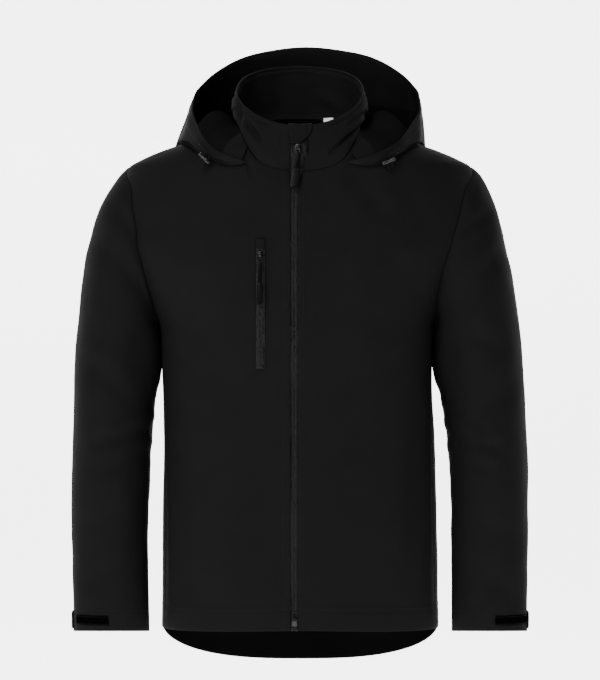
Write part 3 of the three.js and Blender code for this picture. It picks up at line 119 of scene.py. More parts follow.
FRONT_NECK = (
    ("x", "z"),
    (0, -80), (20, -78.5), (44, -73), (60, -64), (70, -52),
    (77, -38), (81.5, -25.5), (84, -18), (84.8, -14), (85, -12),
)
CLOSING = (
    ("z", "right", "left", "zip"),
    (-800, -14, -1.5, -7.8), (-130, -14.2, -1.4, -7.7), (-100, -14.3, 0.2, -6.8),
    (-75, -14.5, 5.5, -4.5), (-45, -14.5, 9.6, -2.8), (0, -14.5, 9.8, -2.6),
)
SLEEVE_NAMES = ("share", "outerX", "outerZ", "innerX", "innerZ", "deep", "y")
SLEEVES = {
    "right": (
        SLEEVE_NAMES,
        (0, 246, -68, 200, -305, 66, 0), (0.04, 259, -81, 201, -309, 68, 0),
        (0.09, 278, -109, 201.6, -316, 70, 0), (0.15, 292, -140, 202.2, -325, 72, 0),
        (0.22, 305, -188, 203, -336, 73, 0), (0.3, 313.5, -240, 203.6, -350, 73, 0),
        (0.38, 318.5, -291, 204.5, -369, 72, -1), (0.48, 323, -355, 208.5, -407, 70, -3),
        (0.58, 326, -420, 212, -450, 66, -6), (0.7, 327, -508, 216, -520, 60, -11),
        (0.85, 325.5, -620, 217, -624, 50, -18), (1, 323.5, -733, 216, -733, 40, -25),
    ),
    "left": (
        SLEEVE_NAMES,
        (0, 247, -68, 191, -305, 66, 0), (0.04, 259, -80, 191.8, -309, 68, 0),
        (0.09, 275, -109, 192.4, -316, 70, 0), (0.15, 286, -140, 193.2, -325, 72, 0),
        (0.22, 298.5, -188, 194, -336, 73, 0), (0.3, 307.5, -240, 194.6, -350, 73, 0),
        (0.38, 314.5, -291, 196, -369, 72, -1), (0.48, 320.5, -355, 204, -407, 70, -3),
        (0.58, 324.5, -420, 210, -450, 66, -6), (0.7, 327, -508, 215, -520, 60, -11),
        (0.85, 326, -620, 217.5, -624, 50, -18), (1, 324.5, -733, 217.5, -733, 40, -25),
    ),
}
CAP_SHARE = 0.3
RIM = {"half": 91, "front": 84, "back": 79, "middle": 34.5, "tilt": 49.5, "lift": 8.5}
COLLAR_BULGE = 8
COLLAR_LIFT = 0.7
HOOD_HALF = (
    ("neck", "rimRight", "rimLeft", "rimY", "rimZ", "turn", "z", "out", "lean"),
    (0, 77, 65, -99, -67, 19.5, -71, 2.6, 0),
    (0.07, 90, 84, -97, -62.5, 22, -73, 3.5, 0),
    (0.14, 106, 104, -92, -56, 25.5, -72, 4.5, 1),
    (0.22, 121, 122, -83, -48, 30, -67, 5, 2),
    (0.31, 134, 141, -67, -35, 39.5, -56, 5, 2),
    (0.41, 148, 160, -24, -8, 57, -43, 5, 1),
    (0.51, 156, 174, 16, 18, 90, -35, 5, 0),
    (0.61, 153, 173, 50, 41, 119, -47, 9, 3),
    (0.71, 141, 163, 78, 60, 139, -76, 15, 7),
    (0.81, 117, 140, 107, 83, 151, -108, 24, 11),
    (0.91, 70, 93, 131, 107, 164, -132, 28, 14),
    (1, -9, 9, 142, 119, 180, -140, 30, 16),
)
HOOD_ROOT_OUT = 3
HOOD_ROOT_UP = 1.6
HOOD_OVER = 1.2
HOOD_FLOOR_OUT = 2.5
HOOD_STAND = {"at": 0.46, "wide": 0.1, "high": 28, "out": 4, "power": 0.62}
HOOD_TIP_SHARE = 3 / 7
NECK_HALF = 85
NECK_BACK = 70
GATHERS = (
    (0.62, 0.025, 4), (0.72, 0.02, 5), (0.83, 0.03, 3.5),
    (1.13, 0.03, 4), (1.26, 0.02, 5.5), (1.37, 0.022, 4),
)


def smoothstep(low: float, high: float, value: float) -> float:
    """Ease from 0 at low to 1 at high."""
    t = min(max((value - low) / (high - low), 0.0), 1.0)
    return t * t * (3 - 2 * t)


def bell(distance: float, wide: float) -> float:
    """A soft hump that is 1 at distance 0 and fades over wide."""
    return math.exp(-((distance / wide) ** 2))


class Table:
    """A table with named columns, read smoothly along its first column."""

    def __init__(self, rows: Sequence[Sequence]) -> None:
        """Keep the columns.

        Args:
            rows: The names, then one row of numbers for each station.
        """
        self.columns = {name: [row[i] for row in rows[1:]] for i, name in enumerate(rows[0])}
        self.keys = self.columns[rows[0][0]]
        self.slopes = {name: self._slopes(values) for name, values in self.columns.items()}

    def _slopes(self, values: Sequence[float]) -> list[float]:
        """Slopes at the stations that never overshoot."""
        secants = [
            (values[i + 1] - values[i]) / (self.keys[i + 1] - self.keys[i])
            for i in range(len(values) - 1)
        ]
        slopes = []
        for i in range(len(values)):
            before = secants[max(i - 1, 0)]
            after = secants[min(i, len(secants) - 1)]
            product = before * after
            slopes.append(0.0 if product <= 0 else 2 * product / (before + after))
        return slopes

    def read(self, name: str, at: float) -> float:
        """Read one column.

        Args:
            name: The column.
            at: The place along the first column.

        Returns:
            The value there.
        """
        keys = self.keys
        i = 0
        while i < len(keys) - 2 and at > keys[i + 1]:
            i += 1
        step = keys[i + 1] - keys[i]
        t = min(max((at - keys[i]) / step, 0.0), 1.0)
        rest = 1 - t
        values, slopes = self.columns[name], self.slopes[name]
        return (
            values[i] * rest * rest * (1 + 2 * t)
            + values[i + 1] * t * t * (3 - 2 * t)
            + step * t * rest * (slopes[i] * rest - slopes[i + 1] * t)
        )


class Polyline:
    """Points that can be read at any share of their length."""

    def __init__(self, points: Iterable[Vector]) -> None:
        """Measure the points.

        Args:
            points: The points, in millimetres.
        """
        self.points = list(points)
        self.along = [0.0]
        for a, b in zip(self.points, self.points[1:]):
            self.along.append(self.along[-1] + (b - a).length)

    @property
    def length(self) -> float:
        """The whole length."""
        return self.along[-1]

    def at(self, share: float) -> Vector:
        """The point at a share of the length."""
        target = self.along[-1] * min(max(share, 0.0), 1.0)
        low, high = 0, len(self.points) - 2
        while low < high:
            middle = (low + high) // 2
            if self.along[middle + 1] < target:
                low = middle + 1
            else:
                high = middle
        span = self.along[low + 1] - self.along[low]
        part = 0.0 if span == 0 else (target - self.along[low]) / span
        return self.points[low].lerp(self.points[low + 1], part)


class Shell:
    """The rounded outline that the body's panels lie on, section by section."""

    def __init__(self) -> None:
        """Read the tables."""
        self.sections = Table(SECTIONS)
        self.armhole = Table(ARMHOLE)
        self.side_seam = Table(SIDE_SEAM)
        self.neck = Table(FRONT_NECK)
        self.closing = Table(CLOSING)
        steps = 120
        drop = SHOULDER_TIP_Z - UNDERARM_Z
        heights = [
            UNDERARM_Z + drop * (1 - math.cos(math.pi * i / steps)) / 2 for i in range(steps + 1)
        ]
        self.arm_edge = Polyline(self.point(self.armhole.read("turn", z), z) for z in heights)
        self.neck_edge = {side: self._neck_edge(side) for side in SIDES}

    def _neck_edge(self, side: str) -> Polyline:
        """The front neck seam of one side, from the closing edge to the shoulder."""
        start = self.closing.read(side, NECK_FRONT_Z)
        end = SIDES[side] * self.width(side, SHOULDER_NECK_Z)
        points = []
        for i in range(201):
            x = start + (end - start) * math.sin(math.pi / 2 * i / 200)
            z = self.neck.read("z", abs(x))
            points.append(self.point(self.turn_at(x, z), z))
        return Polyline(points)

    def width(self, side: str, z: float) -> float:
        """Half the width on one side."""
        return self.sections.read(side, z)

    def point(self, turn: float, z: float) -> Vector:
        """The point at a turn in degrees from the centre front, and a height."""
        across, along = math.sin(math.radians(turn)), math.cos(math.radians(turn))
        power = 2 / self.sections.read("square", z)
        half = self.sections.read("right" if across < 0 else "left", z)
        deep = self.sections.read("front" if along > 0 else "back", z)
        return Vector((
            math.copysign(half * abs(across) ** power, across),
            -math.copysign(deep * abs(along) ** power, along),
            z,
        ))

    def normal(self, turn: float, z: float) -> Vector:
        """The direction out of the shell."""
        around = self.point(turn + 1, z) - self.point(turn - 1, z)
        upward = self.point(turn, z + 1) - self.point(turn, z - 1)
        return around.cross(upward).normalized()

    def turn_at(self, x: float, z: float) -> float:
        """The turn, from -90 to 90, at which the front has this x."""
        half = self.width("right" if x < 0 else "left", z)
        share = min(abs(x) / half, 1) ** (self.sections.read("square", z) / 2)
        return math.copysign(math.degrees(math.asin(share)), x)

    def arm_mark(self, share: float) -> tuple[float, float]:
        """Turn and height of the armhole edge, from the underarm to the shoulder tip."""
        z = self.arm_edge.at(share).z
        return self.armhole.read("turn", z), z


SHELL = Shell()


@dataclass(frozen=True)
class Fold:
    """A soft trough, or a ridge where deep is negative, along a line in X and Z.

    Attributes:
        piece: The piece that it is in.
        start: X and Z of one end, in millimetres.
        end: X and Z of the other end.
        wide: How wide it is.
        deep: How deep it is.
        back: Whether it lies on the back half.
    """

    piece: str
    start: tuple[float, float]
    end: tuple[float, float]
    wide: float
    deep: float
    back: bool = False

    def depth(self, point: Vector) -> float:
        """How far the fold moves a point inwards."""
        if (point.y < 0) == self.back:
            return 0.0
        dx, dz = self.end[0] - self.start[0], self.end[1] - self.start[1]
        px, pz = point.x - self.start[0], point.z - self.start[1]
        share = min(max((px * dx + pz * dz) / (dx * dx + dz * dz), 0.0), 1.0)
        away = math.hypot(px - dx * share, pz - dz * share)
        if away > 4 * self.wide:
            return 0.0
        middle = 0.55 + 0.45 * math.sin(math.pi * share)
        trough = bell(away, self.wide) - 0.32 * bell(away - 2 * self.wide, self.wide)
        return self.deep * middle * trough


FOLDS = (
    Fold("collar", (-85, 22), (-79, -20), 3.2, 6.5),
    Fold("collar", (-84, 10), (-54, -35), 3.4, 6.0),
    Fold("collar", (88, -8), (44, -52), 3.8, 6.5),
    Fold("collar", (88, 6), (66, -14), 3.6, 4.5),
    Fold("collar", (60, 2), (52, -22), 5, 2.2),
    Fold("collar", (-34, -44), (-58, -66), 6, 1.4),
    Fold("front", (-72, -62), (-69, -86), 3.4, 1.8),
    Fold("collar", (-40, 30), (-62, 62), 9, 2.2, True),
    Fold("collar", (30, 40), (58, 20), 8, 2.4, True),
    Fold("front", (-172, -473), (-160, -665), 15, 3.2),
    Fold("front", (-120, -560), (-138, -700), 18, 2.2),
    Fold("front", (-70, -150), (-96, -330), 26, 2.2),
    Fold("front", (-150, -250), (-104, -400), 20, 2.4),
    Fold("front", (-178, -330), (-128, -372), 11, 2.0),
    Fold("front", (-72, -75), (-112, -128), 12, 1.8),
    Fold("front", (-60, -420), (-42, -640), 22, 1.6),
    Fold("front", (152, -230), (100, -390), 22, 2.6),
    Fold("front", (172, -322), (122, -360), 11, 2.2),
    Fold("front", (166, -440), (158, -655), 15, 3.0),
    Fold("front", (84, -440), (66, -690), 22, 2.0),
    Fold("front", (70, -78), (118, -140), 13, 2.0),
    Fold("front", (40, -180), (52, -380), 26, 1.4),
    Fold("back", (-150, -260), (-70, -180), 20, 3.2, True),
    Fold("back", (150, -250), (62, -200), 22, 3.4, True),
    Fold("back", (-160, -350), (-60, -390), 18, 2.8, True),
    Fold("back", (158, -372), (40, -430), 20, 3.2, True),
    Fold("back", (-90, -430), (-110, -720), 22, 3.0, True),
    Fold("back", (96, -460), (84, -740), 24, 3.2, True),
    Fold("back", (-20, -300), (10, -520), 30, 2.4, True),
    Fold("back", (-168, -480), (-160, -690), 16, 2.6, True),
    Fold("back", (170, -470), (164, -680), 16, 2.8, True),
    Fold("sleeve_left", (194, -308), (196, -372), 12, -5.4),
    Fold("sleeve_left", (194, -308), (196, -372), 12, -5.4, True),
    Fold("sleeve_right", (-203, -308), (-205, -372), 12, -5.8),
    Fold("sleeve_right", (-203, -308), (-205, -372), 12, -5.8, True),
    Fold("sleeve_left", (268, -138), (222, -168), 7, 4.2),
    Fold("sleeve_left", (262, -160), (232, -205), 11, 2.6),
    Fold("sleeve_left", (286, -190), (216, -268), 14, 3.2),
    Fold("sleeve_left", (212, -420), (262, -446), 8, 3.4),
    Fold("sleeve_left", (216, -452), (280, -470), 9, 3.6),
    Fold("sleeve_left", (218, -486), (268, -500), 8, 3.0),
    Fold("sleeve_left", (300, -380), (250, -430), 14, 2.6),
    Fold("sleeve_left", (230, -560), (300, -600), 15, 2.6),
    Fold("sleeve_left", (250, -640), (305, -680), 12, 2.4),
    Fold("sleeve_left", (222, -300), (282, -330), 13, 2.8),
    Fold("sleeve_left", (304, -420), (236, -462), 10, 3.6, True),
    Fold("sleeve_left", (306, -470), (232, -496), 10, 3.8, True),
    Fold("sleeve_left", (300, -520), (240, -540), 11, 3.0, True),
    Fold("sleeve_left", (280, -150), (214, -236), 14, 3.4, True),
    Fold("sleeve_left", (296, -240), (222, -316), 14, 3.0, True),
    Fold("sleeve_left", (300, -620), (250, -650), 13, 2.6, True),
    Fold("sleeve_right", (-262, -128), (-226, -170), 10, 3.0),
    Fold("sleeve_right", (-286, -176), (-224, -246), 14, 3.0),
    Fold("sleeve_right", (-214, -410), (-258, -430), 8, 3.2),
    Fold("sleeve_right", (-216, -446), (-284, -462), 9, 3.4),
    Fold("sleeve_right", (-220, -478), (-266, -500), 8, 3.0),
    Fold("sleeve_right", (-300, -350), (-246, -398), 14, 2.8),
    Fold("sleeve_right", (-236, -548), (-306, -580), 14, 2.4),
    Fold("sleeve_right", (-244, -630), (-300, -662), 12, 2.2),
    Fold("sleeve_right", (-226, -290), (-292, -318), 13, 2.6),
    Fold("sleeve_right", (-306, -430), (-236, -456), 10, 3.6, True),
    Fold("sleeve_right", (-302, -486), (-238, -512), 10, 3.4, True),
    Fold("sleeve_right", (-284, -156), (-220, -250), 14, 3.2, True),
    Fold("sleeve_right", (-300, -560), (-246, -584), 12, 2.8, True),
)


def fold_depth(piece: str, point: Vector) -> float:
    """How deep all of one piece's folds are at a point."""
    return sum(fold.depth(point) for fold in FOLDS if fold.piece == piece)


def ripple(point: Vector, size: float, height: float) -> float:
    """The slow unevenness of hanging cloth.

    Args:
        point: The place, in millimetres.
        size: How far apart the swells lie.
        height: How high they are.

    Returns:
        The height there.
    """
    place = Vector((point.x / size, point.y / size, point.z / (1.6 * size)))
    return height * noise.noise(place)


@dataclass
class Line:
    """A run of stitches or teeth on a surface.

    Attributes:
        points: The places, in millimetres.
        outs: The directions out of the surface.
    """

    points: list[Vector]
    outs: list[Vector]

    def lifted(self, amount: float) -> "Line":
        """The same line moved out of the surface."""
        return Line([p + o * amount for p, o in zip(self.points, self.outs)], self.outs)


class Edge(Enum):
    """The four edges of a grid of points."""

    BOTTOM = "bottom"
    TOP = "top"
    START = "start"
    END = "end"


@dataclass
class Grid:
    """Rows of points on the outside of a cloth piece, in millimetres.

    Attributes:
        rows: The points, row by row from the bottom up.
        wraps: Whether the rows close round a tube.
        sign: 1 or -1, so that the normals point out.
    """

    rows: list[list[Vector]]
    wraps: bool = False
    sign: int = 1

    def normals(self) -> list[list[Vector]]:
        """Directions out of the surface at every point."""
        last, count = len(self.rows) - 1, len(self.rows[0])
        result = []
        for r, row in enumerate(self.rows):
            above, below = self.rows[min(r + 1, last)], self.rows[max(r - 1, 0)]
            line = []
            for c in range(count):
                if self.wraps:
                    around = row[(c + 1) % count] - row[c - 1]
                else:
                    around = row[min(c + 1, count - 1)] - row[max(c - 1, 0)]
                line.append(around.cross(above[c] - below[c]).normalized() * self.sign)
            result.append(line)
        return result

    def moved(self, amount: Callable[[int, int, Vector], float]) -> "Grid":
        """The grid with every point moved out by an amount.

        Args:
            amount: Row, column and point to millimetres.

        Returns:
            The new grid.
        """
        normals = self.normals()
        rows = [
            [p + normals[r][c] * amount(r, c, p) for c, p in enumerate(row)]
            for r, row in enumerate(self.rows)
        ]
        return Grid(rows, self.wraps, self.sign)

    def inset(self, edge: Edge, distance: float, lift: float = 0.0) -> Line:
        """A line on the surface at a distance from one edge.

        Args:
            edge: Which edge.
            distance: How far inside it.
            lift: How far out of the surface.

        Returns:
            The line.
        """
        normals = self.normals()
        last, end = len(self.rows) - 1, len(self.rows[0]) - 1
        if edge in (Edge.BOTTOM, Edge.TOP):
            order = range(last + 1) if edge is Edge.BOTTOM else range(last, -1, -1)
            tracks = [[(r, c) for r in order] for c in range(end + 1)]
            if self.wraps:
                tracks.append(tracks[0])
        else:
            order = range(end + 1) if edge is Edge.START else range(end, -1, -1)
            tracks = [[(r, c) for c in order] for r in range(last + 1)]
        points, outs = [], []
        for track in tracks:
            left = distance
            for (r, c), (nr, nc) in zip(track, track[1:]):
                here, there = self.rows[r][c], self.rows[nr][nc]
                span = (there - here).length
                if span >= left:
                    share = left / span
                    out = normals[r][c].lerp(normals[nr][nc], share).normalized()
                    points.append(here.lerp(there, share) + out * lift)
                    outs.append(out)
                    break
                left -= span
        return Line(points, outs)

    def spot(self, row: float, column: float) -> tuple[Vector, Vector]:
        """A point between the grid's points, and the direction out there."""
        count = len(self.rows[0])

        def place(r: float, c: float) -> Vector:
            """The point at a row and column."""
            low = min(max(int(math.floor(r)), 0), len(self.rows) - 2)
            first = int(math.floor(c))
            if not self.wraps:
                first = min(max(first, 0), count - 2)
            a = self.rows[low][first % count].lerp(self.rows[low][(first + 1) % count], c - first)
            b = self.rows[low + 1][first % count].lerp(
                self.rows[low + 1][(first + 1) % count], c - first
            )
            return a.lerp(b, r - low)

        around = place(row, column + 0.5) - place(row, column - 0.5)
        onward = place(row + 0.3, column) - place(row - 0.3, column)
        return place(row, column), around.cross(onward).normalized() * self.sign


class Sock:
    """A shader value whose operators add Math nodes."""

    def __init__(self, tree: "Nodes", socket: bpy.types.NodeSocket) -> None:
        """Wrap a socket.

        Args:
            tree: The material's nodes.
            socket: The output socket.
        """
        self.tree = tree
        self.socket = socket

    def _math(self, operation: str, first: object, second: object) -> "Sock":
        """One Math node on two values."""
        return self.tree.make("ShaderNodeMath", {"operation": operation}, {0: first, 1: second})

    def __add__(self, other: object) -> "Sock":
        """Sum."""
        return self._math("ADD", self, other)

    __radd__ = __add__

    def __sub__(self, other: object) -> "Sock":
        """Difference."""
        return self._math("SUBTRACT", self, other)

    def __rsub__(self, other: object) -> "Sock":
        """Difference from a number."""
        return self._math("SUBTRACT", other, self)

    def __mul__(self, other: object) -> "Sock":
        """Product."""
        return self._math("MULTIPLY", self, other)

    __rmul__ = __mul__

    def sine(self) -> "Sock":
        """Sine of the value."""
        return self._math("SINE", self, 0.0)


class Nodes:
    """The nodes of one material around its main shader."""

    def __init__(self, name: str) -> None:
        """Start a material.

        Args:
            name: The material's name.
        """
        self.material = bpy.data.materials.new(name)
        self.material.use_nodes = True
        self.tree = self.material.node_tree
        self.shader = self.tree.nodes["Principled BSDF"]

    def make(self, kind: str, settings: dict, inputs: dict, output: object = 0) -> Sock:
        """Add a node.

        Args:
            kind: The node's type.
            settings: Its properties, which are set first. A ramp's stops go under stops.
            inputs: Values or sockets by name or number.
            output: Which output to return.

        Returns:
            The output, wrapped.
        """
        node = self.tree.nodes.new(kind)
        for key, value in settings.items():
            if key == "stops":
                ramp = node.color_ramp
                while len(ramp.elements) < len(value):
                    ramp.elements.new(0.5)
                for element, (place, grey) in zip(ramp.elements, value):
                    element.position = place
                    element.color = (grey, grey, grey, 1)
            else:
                setattr(node, key, value)
        for key, value in inputs.items():
            self.feed(node.inputs[key], value)
        return Sock(self, node.outputs[output])

    def feed(self, socket: bpy.types.NodeSocket, value: object) -> None:
        """Link a wrapped socket, or set a plain value."""
        if isinstance(value, Sock):
            self.tree.links.new(value.socket, socket)
        else:
            socket.default_value = value

    def set(self, **values: object) -> None:
        """Set the main shader's sockets, with underscores for spaces."""
        for key, value in values.items():
            self.feed(self.shader.inputs[key.replace("_", " ")], value)

    def uv(self) -> tuple[Sock, Sock]:
        """The piece's own map, in metres across and along."""
        node = self.make("ShaderNodeUVMap", {"uv_map": "UVMap"}, {})
        split = self.make("ShaderNodeSeparateXYZ", {}, {0: node})
        return split, Sock(self, split.socket.node.outputs[1])

    def noise(self, scale: float, detail: float = 3, vector: Sock | None = None) -> Sock:
        """Noise on object coordinates, or on another vector."""
        place = vector or self.make("ShaderNodeTexCoord", {}, {}, "Object")
        return self.make("ShaderNodeTexNoise", {}, {"Vector": place, "Scale": scale, "Detail": detail})

    def tint(self, factor: Sock, dark: Sequence[float], light: Sequence[float]) -> Sock:
        """A mix of two colours."""
        return self.make(
            "ShaderNodeMix",
            {"data_type": "RGBA"},
            {0: factor, 6: (*dark, 1), 7: (*light, 1)},
            2,
        )

    def bump(self, height: Sock, strength: float, distance: float) -> Sock:
        """A Bump node on a height."""
        return self.make(
            "ShaderNodeBump", {}, {"Height": height, "Strength": strength, "Distance": distance}
        )


@dataclass(frozen=True)
class ClothFinish:
    """Woven cloth with a fine twill and a slight mottle.

    Attributes:
        name: The material's name.
        dark: The darker colour.
        light: The lighter colour.
        pitch: The twill's pitch in metres.
        roughness: The middle roughness.
        sheen: How much the fibres catch light at the edges.
        relief: The strength of the weave's bump.
        shine: How much light the surface mirrors.
        fleck: How strongly single yarns stand out.
        grain: The scale of those yarns.
    """

    name: str
    dark: tuple[float, float, float]
    light: tuple[float, float, float]
    pitch: float = 0.0011
    roughness: float = 0.78
    sheen: float = 0.0
    relief: float = 0.25
    shine: float = 0.03
    fleck: float = 0.15
    grain: float = 900

    def build(self) -> bpy.types.Material:
        """Make the material."""
        nodes = Nodes(self.name)
        across, along = nodes.uv()
        wave = 2 * math.pi / self.pitch
        twill = ((across + along) * wave).sine() * 0.5 + 0.5
        rib = ((across - along) * (wave * 0.5)).sine() * 0.5 + 0.5
        weave = twill * 0.7 + rib * 0.3
        mottle = nodes.noise(38, 4)
        grain = nodes.noise(self.grain, 2)
        blend = mottle * 0.55 + weave * 0.3 + (grain - 0.5) * self.fleck + 0.075
        nodes.set(
            Base_Color=nodes.tint(blend, self.dark, self.light),
            Roughness=self.roughness - 0.06 + mottle * 0.12,
            Sheen_Weight=self.sheen,
            Sheen_Roughness=0.5,
            Specular_IOR_Level=self.shine,
            Normal=nodes.bump(weave * 0.6 + grain * 0.4, self.relief, 0.0002),
        )
        return nodes.material


@dataclass(frozen=True)
class HardFinish:
    """Moulded rubber, coated metal or nylon.

    Attributes:
        name: The material's name.
        dark: The darker colour.
        light: The lighter colour.
        roughness: The middle roughness.
        metallic: 0 or 1.
        grain: The scale of its surface grain.
        relief: The strength of the grain's bump.
        shine: How much light the surface mirrors.
        wear: The scale of its patches of colour.
    """

    name: str
    dark: tuple[float, float, float]
    light: tuple[float, float, float]
    roughness: float = 0.4
    metallic: float = 0.0
    grain: float = 700
    relief: float = 0.15
    shine: float = 0.2
    wear: float = 160

    def build(self) -> bpy.types.Material:
        """Make the material."""
        nodes = Nodes(self.name)
        grain = nodes.noise(self.grain, 3)
        wear = nodes.noise(self.wear, 4)
        nodes.set(
            Base_Color=nodes.tint(wear, self.dark, self.light),
            Roughness=self.roughness - 0.08 + wear * 0.16,
            Metallic=self.metallic,
            Specular_IOR_Level=self.shine,
            Normal=nodes.bump(grain, self.relief, 0.0002),
        )
        return nodes.material


@dataclass(frozen=True)
class CordFinish:
    """A braided cord, its strands crossing along the cord's own map."""

    name: str
    dark: tuple[float, float, float]
    light: tuple[float, float, float]

    def build(self) -> bpy.types.Material:
        """Make the material."""
        nodes = Nodes(self.name)
        around, along = nodes.uv()
        turns = 2 * math.pi / 0.0012
        one = ((around + along) * turns).sine()
        two = ((around - along) * turns).sine()
        braid = (one * two) * 0.5 + 0.5
        nodes.set(
            Base_Color=nodes.tint(braid, self.dark, self.light),
            Roughness=0.62 + braid * 0.15,
            Specular_IOR_Level=0.05,
            Normal=nodes.bump(braid, 0.5, 0.0003),
        )
        return nodes.material


SOFTSHELL = ClothFinish("softshell", (0.0020, 0.0020, 0.0021), (0.0048, 0.0048, 0.0050))
LINING = ClothFinish("lining", (0.0009, 0.0009, 0.0009), (0.0026, 0.0026, 0.0027), 0.0016, 0.9, 0.0, 0.4, 0.0)
HOOD_LINING = ClothFinish(
    "hood_lining", (0.0019, 0.0019, 0.0020), (0.0046, 0.0046, 0.0047), 0.0016, 0.9, 0.0, 0.4, 0.0
)
ZIP_TAPE = ClothFinish(
    "zip_tape", (0.0012, 0.0012, 0.0012), (0.0130, 0.0130, 0.0133), 0.0007, 0.7, fleck=3.4, grain=420
)
PATCH = ClothFinish("loop_patch", (0.0002, 0.0002, 0.0002), (0.0010, 0.0010, 0.0010), 0.0018, 0.95, 0.0, 0.9, 0.0)
LABEL = ClothFinish("neck_label", (0.62, 0.62, 0.61), (0.80, 0.80, 0.79), 0.0006, 0.6)
COIL = HardFinish("zip_coil", (0.0005, 0.0005, 0.0005), (0.020, 0.020, 0.0205), 0.42, shine=0.06, wear=420)
METAL = HardFinish("zip_metal", (0.006, 0.006, 0.0062), (0.034, 0.034, 0.035), 0.26, 1.0)
RUBBER = HardFinish("grip_rubber", (0.0005, 0.0005, 0.0005), (0.0016, 0.0016, 0.0017), 0.34, shine=0.05)
NYLON = HardFinish("toggle_nylon", (0.001, 0.001, 0.001), (0.004, 0.004, 0.0041), 0.24, shine=0.22)
THREAD = HardFinish("thread", (0.0035, 0.0035, 0.0036), (0.0075, 0.0075, 0.0077), 0.6, 0.0, 2000, shine=0.05)
CORD = CordFinish("hood_cord", (0.0008, 0.0008, 0.0008), (0.004, 0.004, 0.0041))


class Palette:
    """Builds each finish once."""

    def __init__(self) -> None:
        """Start with nothing built."""
        self.built: dict[str, bpy.types.Material] = {}

    def get(self, finish: ClothFinish | HardFinish | CordFinish) -> bpy.types.Material:
        """The material of a finish."""
        if finish.name not in self.built:
            self.built[finish.name] = finish.build()
        return self.built[finish.name]


PALETTE = Palette()


def link_object(name: str, mesh: bpy.types.Mesh) -> bpy.types.Object:
    """Put a mesh into the scene as an object at the origin."""
    piece = bpy.data.objects.new(name, mesh)
    bpy.context.scene.collection.objects.link(piece)
    return piece


